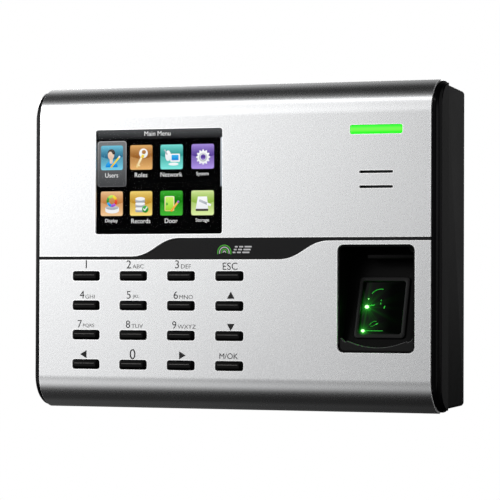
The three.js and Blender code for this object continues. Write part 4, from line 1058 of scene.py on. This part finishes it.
# Glows evenly, a little brighter along its middle.
def litMaterial(name, colour, strength, core=None):
    material, tree, shader = blankMaterial(name, {
        "Base Color": (*[level * 0.4 for level in colour], 1), "Roughness": 0.35,
        "Emission Strength": strength,
    })
    cells = addGroup(tree, latticeGroup, {"Per Metre": 1400.0, "Depth": 0.05})["Level"]
    across = splitVector(tree, coordinates(tree, "UV"))["Y"]
    off = calc(tree, "ABSOLUTE", calc(tree, "SUBTRACT", across, 0.5))
    inside = calc(tree, "MULTIPLY", calc(tree, "MULTIPLY_ADD", off, -3.4, 1.35), cells)
    glow = mixColours(tree, inside, (*colour, 1), (*(core or colour), 1))
    wire(tree, glow, shader["Emission Color"])
    return material


# UVs from 0 to 1 across a flat piece, from its lower left corner.
def addUv(mesh, lowCorner, size):
    layer = mesh.loops.layers.uv.verify()
    for face in mesh.faces:
        for corner in face.loops:
            corner[layer].uv = (
                (corner.vert.co.x - lowCorner[0]) / size[0],
                (corner.vert.co.z - lowCorner[1]) / size[1],
            )


indicatorSpec = {
    "gap": 0.15 * mm,
    "corner": 0.65 * mm,
    "rounding": 0.3 * mm,
    "rim": (faceY + 3.35 * mm, faceY + 4.45 * mm),
    "rimGap": 0.1 * mm,
    "rimCorner": 1.5 * mm,
    "colour": (0.004, 0.90, 0.003),
    "core": (0.14, 0.98, 0.055),
}


def makeIndicator(spec):
    low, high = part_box("indicator_light_guide")
    size = [side - 2 * spec["gap"] for side in panelSpec["indicatorSize"]]
    middle = ((low.x + high.x) / 2, (low.z + high.z) / 2)
    mesh = plate([roundedLoop(middle, size, spec["corner"])], low.y, high.y, spec["rounding"], 0)
    rim = (high.x - low.x - spec["rimGap"], high.z - low.z - spec["rimGap"])
    plate([roundedLoop(middle, rim, spec["rimCorner"])], *spec["rim"], 0.1 * mm, 0, mesh=mesh)
    addUv(mesh, (middle[0] - size[0] / 2, middle[1] - size[1] / 2), size)
    finishes["indicator"] = litMaterial("indicator", spec["colour"], 1.0, spec["core"])
    place(mesh, "indicator_bar", ["indicator"], "indicator", "indicator_light_guide")


makeIndicator(indicatorSpec)
print("indicator made")


screenSpec = {
    "y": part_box("lcd_module")[0].y - 0.05 * mm,
    "left": -62.0, "right": -4.85,
    "bottom": 4.4, "top": 48.6,
    "shift": -1.85,
    "tile": 10.2,
    "tileCorner": 0.8,
    "columns": [-53.45, -39.9, -26.0, -11.9],
    "rows": [37.25, 18.15],
    "title": ("Main Menu", 1.9, -34.3),
    "titleHeight": 3.8,
    "chosenDrop": 2.55,
    "chosenSize": (13.4, 19.0),
    "chosenRim": 0.7,
    "scrollBar": (0.9, 20.2, 34.9),
    "word": (1.85, 8.2),
    "wordLevel": 9,
    "step": 0.03 * mm,
}
tileSpecs = [
    ("users", (0.004, 0.09, 0.20), (0.22, 0.68, 0.86), "Users"),
    ("roles", (0.26, 0.075, 0.004), (0.88, 0.50, 0.18), "Roles"),
    ("network", (0.0, 0.22, 0.20), (0.24, 0.88, 0.80), "Network"),
    ("system", (0.055, 0.015, 0.25), (0.46, 0.33, 0.84), "System"),
    ("style", (0.50, 0.17, 0.025), (0.96, 0.64, 0.34), "Display"),
    ("records", (0.50, 0.23, 0.0), (1.0, 0.78, 0.22), "Records"),
    ("access", (0.0, 0.15, 0.0), (0.06, 0.50, 0.04), "Door"),
    ("storage", (0.22, 0.44, 0.015), (0.80, 0.93, 0.42), "Storage"),
]
screenMeshes = {}


# Picture colours on a display: a tone that falls and rises up the tile, over its dots.
def pictureMaterial(name, dark, light, kind):
    material, tree, shader = blankMaterial(name, {
        "Base Color": (0.0006, 0.0006, 0.0006, 1), "Roughness": 0.4, "Specular IOR Level": 0.0,
        "Emission Strength": 1.0,
    })
    dots = addGroup(tree, latticeGroup, {"Per Metre": 7800.0, "Depth": 0.12})["Level"]
    split = splitVector(tree, coordinates(tree, "UV"))
    tone = split["Y"]
    if kind == "tile":
        wave = calc(tree, "SINE", calc(tree, "MULTIPLY", split["X"], 3.0))
        edge = calc(tree, "SUBTRACT", 0.56, calc(tree, "MULTIPLY", wave, 0.12))
        fall = calc(tree, "POWER", calc(tree, "SUBTRACT", 1.0, split["Y"]), 1.6)
        lower = calc(tree, "MULTIPLY", fall, calc(tree, "LESS_THAN", split["Y"], edge))
        upper = calc(tree, "MULTIPLY", calc(tree, "POWER", split["Y"], 3.0), 0.85)
        tone = calc(tree, "ADD", lower, upper)
    elif kind == "flat":
        tone = 0.0
    picture = mixColours(tree, tone, (*dark, 1), (*light, 1))
    wire(tree, scaleColour(tree, picture, dots), shader["Emission Color"])
    return material


pictureColours = {
    "ground": ((0.0005, 0.0005, 0.0006), (0.002, 0.002, 0.003), "flat"),
    "title": ((0.006, 0.006, 0.007), (0.085, 0.088, 0.092), "slope"),
    "chosen": ((0.06, 0.062, 0.065), (0.20, 0.205, 0.21), "slope"),
    "chosen_rim": ((0.12, 0.12, 0.125), (0.42, 0.42, 0.43), "slope"),
    "white": ((0.86, 0.88, 0.90), (1.0, 1.0, 1.0), "slope"),
    "grey": ((0.30, 0.33, 0.37), (0.62, 0.65, 0.70), "slope"),
    "label": ((0.95, 0.95, 0.95), (0.95, 0.95, 0.95), "flat"),
    "skin": ((0.78, 0.55, 0.40), (0.92, 0.74, 0.60), "slope"),
    "hair": ((0.02, 0.02, 0.02), (0.10, 0.08, 0.07), "slope"),
    "blue": ((0.0, 0.22, 0.72), (0.05, 0.50, 0.92), "slope"),
    "yellow": ((0.85, 0.55, 0.0), (1.0, 0.86, 0.10), "slope"),
    "cream": ((0.85, 0.62, 0.22), (1.0, 0.93, 0.72), "slope"),
    "green": ((0.0, 0.22, 0.02), (0.10, 0.52, 0.10), "slope"),
    "lime": ((0.33, 0.72, 0.04), (0.62, 0.93, 0.16), "slope"),
    "red": ((0.70, 0.02, 0.01), (0.90, 0.12, 0.05), "slope"),
    "orange": ((0.90, 0.30, 0.02), (1.0, 0.55, 0.12), "slope"),
    "violet": ((0.25, 0.04, 0.55), (0.55, 0.20, 0.85), "slope"),
}
for name, values in pictureColours.items():
    finishes[f"picture_{name}"] = pictureMaterial(f"picture_{name}", *values)


# Adds a thin flat shape to the picture; a higher level lies on top of a lower one.
def draw(colour, level, loops, x=0, z=0):
    points = [[Vector(((x + right) * mm, (z + up) * mm)) for right, up in loop] for loop in loops]
    front = screenSpec["y"] - level * screenSpec["step"]
    mesh = plate(points, front, front + screenSpec["step"] * 0.8, 0.004 * mm, 0, 1)
    xs = [p.x for p in points[0]]
    zs = [p.y for p in points[0]]
    addUv(mesh, (min(xs), min(zs)), (max(xs) - min(xs), max(zs) - min(zs)))
    absorb(screenMeshes.setdefault(colour, bmesh.new()), mesh)


def box(x, z, width, height, corner=0.1, turn=0):
    loop = roundedLoop((0, 0), (width, height), corner, 3)
    c, s = cos(radians(turn)), sin(radians(turn))
    return [(x + p.x * c - p.y * s, z + p.x * s + p.y * c) for p in loop]


def oval(x, z, width, height, start=0, end=360, count=20):
    turns = [
        radians(start + (end - start) * index / count)
        for index in range(count if end - start >= 360 else count + 1)
    ]
    return [(x + width / 2 * cos(t), z + height / 2 * sin(t)) for t in turns]


def ringPart(x, z, outer, inner, start, end):
    inside = oval(x, z, inner, inner, start, end, 8)
    return oval(x, z, outer, outer, start, end, 8) + inside[::-1]


def gear(x, z, outer, inner, teeth):
    points = []
    for index in range(teeth * 4):
        radius = outer if index % 4 in (0, 1) else inner
        angle = 2 * pi * (index - 0.5) / (teeth * 4)
        points.append((x + radius * cos(angle), z + radius * sin(angle)))
    return points


# Each tile's shapes as colour, level and loops, in millimetres from the tile's middle.
tilePictures = {
    "users": [
        ("blue", 4, [oval(-0.1, -3.9, 5.6, 5.4, 0, 180)]),
        ("skin", 5, [box(-0.3, -1.2, 1.3, 2.4, 0.3)]),
        ("skin", 6, [oval(-0.4, 1.1, 2.9, 3.9)]),
        ("hair", 7, [oval(-0.2, 2.0, 3.4, 3.2, -25, 185)]),
        ("skin", 8, [oval(-0.7, 1.3, 2.1, 2.6)]),
        ("yellow", 9, [box(1.6, -1.8, 0.7, 6.0, 0.1, -42)]),
        ("white", 10, [box(3.5, 0.3, 0.75, 0.9, 0.1, -42)]),
    ],
    "roles": [
        ("white", 4, [oval(1.0, 1.7, 4.0, 4.0), oval(1.2, 2.2, 1.9, 1.7)]),
        ("cream", 5, [box(-0.9, -2.0, 0.95, 5.0, 0.2, -28)]),
        ("yellow", 6, [box(0.7, 0.4, 1.2, 1.5, 0.2, -28)]),
        ("cream", 6, [box(-0.9, -3.4, 0.9, 0.6, 0.1, -28)]),
    ],
    "network": [
        ("white", 4, [oval(-1.6, 0.5, 2.6, 4.4)]),
        ("grey", 5, [box(-2.6, 2.0, 0.5, 2.4, 0.1, 30)]),
        ("white", 5, [box(1.6, -0.4, 4.4, 3.4, 0.4)]),
        ("blue", 6, [box(1.6, -0.3, 3.2, 2.2, 0.2)]),
        ("white", 5, [oval(0.9, -3.0, 4.6, 1.2)]),
    ],
    "system": [
        ("white", 4, [gear(0.2, -0.3, 3.2, 2.55, 12), oval(0.2, -0.3, 2.4, 2.4)]),
        ("grey", 5, [oval(0.2, -0.3, 3.6, 3.6), oval(0.2, -0.3, 2.9, 2.9)]),
    ],
    "style": [
        ("white", 4, [oval(0.2, -2.9, 6.4, 2.4)]),
        ("white", 4.5, [box(0.2, -2.2, 6.3, 1.4, 0.3)]),
        ("grey", 5, [oval(0.2, -1.7, 6.0, 1.7)]),
        *[
            (colour, 6, [ringPart(0.1, 1.1, 5.0, 2.7, 20 + 60 * index, 78 + 60 * index)])
            for index, colour in enumerate(("yellow", "lime", "green", "blue", "violet", "red"))
        ],
    ],
    "records": [
        *[shape for index in range(3) for shape in (
            ("grey", 4 + index, [box(-0.4, -2.9 + 2 * index, 4.4, 1.5, 0.5)]),
            ("white", 4.5 + index, [oval(-0.4, -2.1 + 2 * index, 4.4, 1.5)]),
        )],
        ("green", 8, [oval(2.0, -2.4, 3.0, 3.0)]),
        ("white", 9, [box(1.5, -2.6, 0.4, 1.2, 0.1, 40)]),
        ("white", 9, [box(2.3, -2.2, 0.4, 2.1, 0.1, -35)]),
    ],
    "access": [
        ("cream", 4, [box(-0.9, -0.2, 4.4, 6.2, 0.5)]),
        ("lime", 5, [box(-0.9, -0.2, 3.7, 5.5, 0.3)]),
        ("green", 6, [oval(-2.0, -0.3, 0.7, 1.2)]),
        ("orange", 7, [box(1.4, -1.5, 0.8, 4.9, 0.1, -40)]),
        ("violet", 8, [box(3.1, 0.5, 0.8, 0.9, 0.1, -40)]),
    ],
    "storage": [
        ("white", 4, [[(-3.1, -2.6), (2.6, -2.6), (2.0, 2.6), (-2.1, 2.6)]]),
        ("hair", 5, [box(-0.25, -2.9, 5.6, 0.9, 0.1)]),
        ("grey", 6, [box(0.9, 0.1, 5.2, 1.0, 0.3, -22)]),
        ("white", 7, [box(2.9, -0.7, 2.0, 1.0, 0.3, -22)]),
    ],
}


def drawWord(text, height, x, z):
    mesh = textMesh(text, height * mm)
    front = screenSpec["y"] - screenSpec["wordLevel"] * screenSpec["step"]
    moved(mesh, (x * mm - widthOf(mesh) / 2, front, z * mm))
    addUv(mesh, (0, 0), (1, 1))
    absorb(screenMeshes.setdefault("label", bmesh.new()), mesh)


def makeScreen(spec):
    wide, tall = spec["right"] - spec["left"], spec["top"] - spec["bottom"]
    middleX, middleZ = (spec["left"] + spec["right"]) / 2, (spec["bottom"] + spec["top"]) / 2
    titleTall = spec["titleHeight"]
    draw("ground", 0, [box(middleX, middleZ, wide, tall, 0.2)])
    draw("title", 1, [box(middleX, spec["top"] - titleTall / 2, wide, titleTall, 0.2)])
    title, height, titleX = spec["title"]
    drawWord(title, height, titleX, spec["top"] - 2.5)
    x, z = spec["columns"][0] + spec["shift"], spec["rows"][0] - spec["chosenDrop"]
    wide, tall = spec["chosenSize"]
    draw("chosen_rim", 1, [box(x, z, wide, tall, 1.2)])
    draw("chosen", 2, [box(x, z, wide - spec["chosenRim"], tall - spec["chosenRim"], 0.9)])
    wide, tall, z = spec["scrollBar"]
    draw("grey", 2, [box(spec["right"] - wide / 2, z, wide, tall, 0.3)])
    for index, (name, dark, light, word) in enumerate(tileSpecs):
        x = spec["columns"][index % 4] + spec["shift"]
        z = spec["rows"][index // 4]
        finishes[f"picture_{name}"] = pictureMaterial(f"picture_{name}", dark, light, "tile")
        draw(name, 3, [box(x, z, spec["tile"], spec["tile"], spec["tileCorner"])])
        for colour, level, loops in tilePictures[name]:
            draw(colour, level, loops, x, z)
        height, drop = spec["word"]
        drawWord(word, height, x, z - drop)
    for colour, mesh in screenMeshes.items():
        place(mesh, f"picture_{colour}", [f"picture_{colour}"], "display")


makeScreen(screenSpec)


windowSpec = {
    "flange": 1.0 * mm,
    "flangeCorner": 2.5 * mm,
    "gap": 0.12 * mm,
    "corner": 0.88 * mm,
    "rounding": 0.1 * mm,
    "rearGap": 0.02 * mm,
}


# Clear lens whose middle fills the opening in the metal, with a dark printed border behind.
def makeWindow(spec):
    low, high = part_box("display_window")
    middle = ((low.x + high.x) / 2, (low.z + high.z) / 2)
    opening = panelSpec["displaySize"]
    raised = roundedLoop(middle, [side - 2 * spec["gap"] for side in opening], spec["corner"])
    outer = roundedLoop(middle, (high.x - low.x, high.z - low.z), spec["flangeCorner"])
    flangeY = high.y - spec["flange"]
    mesh = bmesh.new()
    stackRings(mesh, [
        ringOf(mesh, insetLoop(raised, spec["rounding"]), low.y),
        ringOf(mesh, raised, low.y + spec["rounding"]),
        ringOf(mesh, raised, flangeY),
        ringOf(mesh, outer, flangeY),
        ringOf(mesh, outer, high.y - spec["rearGap"]),
    ])
    place(mesh, "window_lens", ["clear_lens"], "clear_lens", "display_window")
    seen = roundedLoop(middle, (opening[0] + 0.4 * mm, opening[1] + 0.2 * mm), 1.0 * mm)
    border = plate(
        [outer, seen], high.y - 0.01 * mm, high.y + spec["rearGap"], 0.004 * mm, 0, 1,
    )
    place(border, "window_border", ["key_black"], "clear_lens")


makeWindow(windowSpec)
print("screen made")


fingerSpec = {
    "middle": (panelSpec["columnX"], panelSpec["fingerMiddleZ"]),
    "size": panelSpec["fingerSize"],
    "corner": 2.5 * mm,
    "gap": 0.2 * mm,
    "wall": 0.7 * mm,
    "front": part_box("finger_bezel")[0].y,
    "platenWidth": 22.0 * mm,
    "platenLength": 25.6 * mm,
    "platenBorder": 1.9 * mm,
    "lean": radians(15.6),
    "footZ": -36.95 * mm,
    "footDepth": 4.4 * mm,
    "frame": (-0.8 * mm, 0.6 * mm),
    "frameCorner": 1.6 * mm,
    "floor": (-7.5 * mm, 46 * mm),  # where it starts, and how long it is, along the glass
    "depth": 15.5 * mm,
}


# Turns what stands upright at the origin to lie along the glass.
def lean(mesh, spec):
    foot = Vector((0, faceY + spec["footDepth"], spec["footZ"]))
    turn = Matrix.Translation(foot) @ Matrix.Rotation(-spec["lean"], 4, "X")
    bmesh.ops.transform(mesh, matrix=turn, verts=mesh.verts)
    return mesh


# A plate that leans with the glass: near and far are measured square to its plane.
def leanPlate(spec, width, startUp, length, near, far, corner, rounding, holes=()):
    middle = (spec["middle"][0], startUp + length / 2)
    outline = roundedLoop(middle, (width, length), corner)
    return lean(plate([outline, *holes], near, far, rounding, 0), spec)


def makeBezel(spec):
    middle, size = spec["middle"], spec["size"]
    filled = [side - 2 * spec["gap"] for side in size]
    outer = roundedLoop(middle, filled, spec["corner"] - spec["gap"])
    inner = insetLoop(outer, spec["wall"])
    mesh = plate([outer, inner], spec["front"], faceY + spec["depth"], 0.16 * mm, 0)
    width = size[0] - 2 * (spec["gap"] + spec["wall"]) + 0.1 * mm
    platen = (spec["platenWidth"], spec["platenLength"])
    glass = [side - 2 * spec["platenBorder"] for side in platen]
    hole = roundedLoop((middle[0], platen[1] / 2), glass, 0.9 * mm)
    absorb(mesh, leanPlate(
        spec, width, *spec["floor"], 0, 2.0 * mm, 0.5 * mm, 0.05 * mm, [hole],
    ))
    frameMesh = leanPlate(
        spec, platen[0], 0, platen[1], *spec["frame"], spec["frameCorner"], 0.35 * mm, [hole],
    )
    for face in frameMesh.faces:
        face.material_index = 1
    absorb(mesh, frameMesh)
    place(
        mesh, "bezel_frame", ["recess_black", "frame_black"], "matte_black", "finger_bezel",
    )


# Lengths in millimetres: tips and ends run up from the foot at each side of the dish.
lipSpec = {
    "corner": 2.2,
    "sideGap": 0.05,
    "tips": [(0, 5.5), (-1.0, 5.6), (-1.9, 4.6)],
    "dish": 12.6,
    "ends": [(0.6, 4.0), (0.1, 4.5)],
    "dishFoot": 1.9,
    "dishRise": 2.6,
    "depths": (1.0, 2.9),
    "rounding": 0.16,
}


# Dished shelf below the glass, with a notch near each end; its rounded edges and walls are a lighter
# grey than its face, a painted highlight.
def makeLip(spec, recess):
    footZ = recess["middle"][1] - recess["size"][1] / 2 + recess["gap"]
    half = (recess["size"][0] / 2 - recess["gap"]) / mm - spec["sideGap"]
    corner, dish = spec["corner"], spec["dish"]
    points = []
    for side, start in ((-1, 180), (1, 270)):
        for step in range(7):
            angle = radians(start + 90 * step / 6)
            right = side * (half - corner) + corner * cos(angle)
            points.append((right, corner + corner * sin(angle)))
    top = [(half + x, z) for x, z in spec["tips"]] + [(dish + x, z) for x, z in spec["ends"]]
    points += top
    for step in range(1, 24):
        share = 1 - 2 * step / 24
        points.append((dish * share, spec["dishFoot"] + spec["dishRise"] * share * share))
    points += [(-x, z) for x, z in reversed(top)]
    loop = [Vector((recess["middle"][0] + x * mm, footZ + z * mm)) for x, z in points]
    near, far = spec["depths"]
    mesh = plate([loop], faceY + near * mm, faceY + far * mm, spec["rounding"] * mm)
    place(mesh, "bezel_lip", ["frame_black", "lip_edge_highlight"], "matte_black")


# Corners, depths and rounding in millimetres, from the top right of the recess.
hoodSpec = {
    "shelf": ([(-21.7, -5.6), (0, -5.6), (0, -3.9), (-21.7, -3.9)], (6.4, 14), 0.3),
    "rib": ([
        (-4.2, -0.6), (-2.9, -2.6), (-1.6, -3.5), (0, -3.6), (0, -2.4), (-1.2, -2.4),
        (-2.1, -1.6), (-2.9, -0.6),
    ], (5.6, 12), 0.2),
}


# Shelf and rib that close the recess above the glass.
def makeHood(spec, recess):
    inside = recess["size"][0] / 2 - recess["gap"] - recess["wall"] + 0.05 * mm
    right = recess["middle"][0] + inside
    top = recess["middle"][1] + recess["size"][1] / 2
    mesh = bmesh.new()
    for corners, (near, far), rounding in spec.values():
        loop = [Vector((right + x * mm, top + z * mm)) for x, z in corners]
        plate([loop], faceY + near * mm, faceY + far * mm, rounding * mm, 0, mesh=mesh)
    place(mesh, "bezel_hood", ["recess_black"], "matte_black")


def leanPoint(spec, x, along, depth):
    c, s = cos(spec["lean"]), sin(spec["lean"])
    return Vector((
        x, faceY + spec["footDepth"] + depth * c + along * s, spec["footZ"] - depth * s + along * c,
    ))


emitterSpots = [
    (leanPoint(fingerSpec, 56.4 * mm, 3.2 * mm, -0.02 * mm), 2.0 * mm, 0.9),
    (leanPoint(fingerSpec, 57.1 * mm, 13.2 * mm, -0.02 * mm), 2.4 * mm, 1.0),
    (leanPoint(fingerSpec, 57.5 * mm, 16.5 * mm, -0.02 * mm), 0.5 * mm, 0.1),
]


# Dark optical glass with a painted green glow, halo and rays, round the points of light in it.
def makeGlassWithPaintedGlow(spots):
    material, tree, shader = blankMaterial(
        "optical_glass", {"Specular IOR Level": 0.04, "Emission Strength": 1.0},
    )
    addFinish(tree, shader, {
        "Colour": (0.0008, 0.0014, 0.001, 1), "Worn Colour": (0.002, 0.003, 0.0022, 1),
        "Roughness": 0.10, "Roughness Spread": 0.05, "Marks Per Metre": 90.0,
        "Grain Per Metre": 2200.0,
    })
    # painted glow: green emission on the glass surface round each lit point
    total = 0.0
    for point, reach, rays in spots:
        values = {"Point": point, "Reach": reach * 1.05, "Rays": rays * 0.16}
        total = calc(tree, "ADD", addGroup(tree, paintedGlowGroup, values)["Level"], total)
    heart = calc(tree, "POWER", total, 3.0)
    green = mixColours(tree, heart, (0, 0.34, 0.006, 1), (0.45, 1.0, 0.4, 1))
    bright = scaleColour(tree, green, calc(tree, "MULTIPLY", total, 1.3))
    wire(tree, bright, shader["Emission Color"])
    return material


def makeGlass(spec):
    inset = spec["platenBorder"] - 0.15 * mm
    size = (spec["platenWidth"] - 2 * inset, spec["platenLength"] - 2 * inset)
    mesh = leanPlate(spec, size[0], inset, size[1], 0.1 * mm, 6.0 * mm, 0.9 * mm, 0.1 * mm)
    place(
        mesh, "platen_glass", ["optical_glass"], "optical_glass",
        "platen_prism",
    )


# Small glowing blobs just in front of the glass, where the lit lenses show through it: painted glow.
def makePaintedGlowSpots():
    mesh = bmesh.new()
    for point, reach, rays in emitterSpots:
        bmesh.ops.create_uvsphere(
            mesh, u_segments=16, v_segments=10, radius=reach * 0.32,
            matrix=Matrix.Translation(point) @ Matrix.Diagonal((1.15, 0.5, 0.9, 1)),
        )
    for face in mesh.faces:
        face.smooth = True
    place(mesh, "painted_glow_spots", ["painted_glow_spot"], "emitter", sharp=80)


# Painted reflections of the green light in the glass, as glowing streaks and folds: middle (x, along
# the glass), size and tilt.
paintedReflectionSpec = {
    "streaks": [
        ((60.9, 3.25), (8.0, 0.20), 0), ((58.9, 13.7), (2.6, 0.22), 8),
        ((64.6, 13.1), (0.45, 1.15), -12), ((62.9, 14.6), (0.35, 0.8), -10),
        ((62.1, 6.1), (1.1, 0.35), 30), ((63.0, 15.9), (0.3, 0.6), -10),
    ],
    "folds": [
        ((60.5, 6.3), 1.55, 0.62, (15, 170), 28), ((60.7, 5.9), 1.35, 0.5, (190, 330), 28),
        ((62.3, 17.6), 3.9, 3.0, (66, 150), 8), ((59.6, 14.4), 0.8, 0.45, (200, 340), 0),
    ],
    "line": 0.24,
    "depth": 0.03,
}


def makePaintedReflections(spec):
    mesh = bmesh.new()
    front, back = -spec["depth"] * mm, spec["depth"] * mm
    loops = []
    for (x, along), (width, height), tilt in spec["streaks"]:
        corner = 0.45 * min(width, height)
        turn = Matrix.Rotation(radians(tilt), 2)
        loop = roundedLoop((0, 0), (width * mm, height * mm), corner * mm, 3)
        loops.append([turn @ point + Vector((x, along)) * mm for point in loop])
    for (x, along), reach, rise, (start, end), tilt in spec["folds"]:
        turn = Matrix.Rotation(radians(tilt), 2)
        squash = Matrix.Diagonal((1, rise / reach))
        arc = arcLoop((0, 0), reach, spec["line"], start, end)
        loops.append([turn @ (squash @ point) + Vector((x, along)) * mm for point in arc])
    for loop in loops:
        plate([loop], front, back, 0.004 * mm, 0, 1, mesh=mesh)
    lean(mesh, fingerSpec)
    addUv(mesh, (0, 0), (1, 1))
    place(mesh, "painted_green_reflections", ["painted_reflection_glow"], "emitter")


finishes["painted_reflection_glow"] = litMaterial("painted_reflection_glow", (0.0, 0.42, 0.010), 1.0)
finishes["optical_glass"] = makeGlassWithPaintedGlow(emitterSpots)
finishes["painted_glow_spot"] = litMaterial("painted_glow_spot", (0.35, 1.0, 0.30), 3.0, (0.95, 1.0, 0.92))
makeBezel(fingerSpec)
makeLip(lipSpec, fingerSpec)
makeHood(hoodSpec, fingerSpec)
makeGlass(fingerSpec)
makePaintedGlowSpots()
makePaintedReflections(paintedReflectionSpec)

recessGlow = {"colour": (0.05, 1.0, 0.06), "power": 0.0006, "size": 0.8 * mm, "ahead": 1.6 * mm}
for index in range(2):
    glow = bpy.data.lights.new(f"green_glow_{index}", "POINT")
    glow.color = recessGlow["colour"]
    glow.energy = recessGlow["power"]
    glow.shadow_soft_size = recessGlow["size"]
    holder = bpy.data.objects.new(glow.name, glow)
    scene.collection.objects.link(holder)
    holder.location = emitterSpots[index][0] - Vector((0, recessGlow["ahead"], 0))
print("finger recess made")


floorSpec = {
    "radius": 1.2,
    "below": 0.24,
    "glow": ((1.0, 1.0, 0.99, 1), 0.5),
    "finish": {
        "colour": (0.82, 0.82, 0.81), "worn": (0.86, 0.86, 0.85), "roughness": 0.7,
        "grain": 4, "marks": 300, "bump": 0.02, "scratches": 0,
    },
}


def makeFloor(spec):
    mesh = bmesh.new()
    bmesh.ops.create_circle(
        mesh, cap_ends=True, radius=spec["radius"], segments=96,
        matrix=Matrix.Translation((0, 0, cadLow.z - spec["below"])),
    )
    data = bpy.data.meshes.new("floor")
    mesh.to_mesh(data)
    mesh.free()
    pale = surface("floor", spec["finish"])
    shader = pale.node_tree.nodes["Principled BSDF"].inputs
    shader["Emission Color"].default_value, shader["Emission Strength"].default_value = spec["glow"]
    data.materials.append(pale)
    floor = bpy.data.objects.new("floor", data)
    scene.collection.objects.link(floor)
    floor.visible_glossy = False
    floor.visible_diffuse = False


makeFloor(floorSpec)
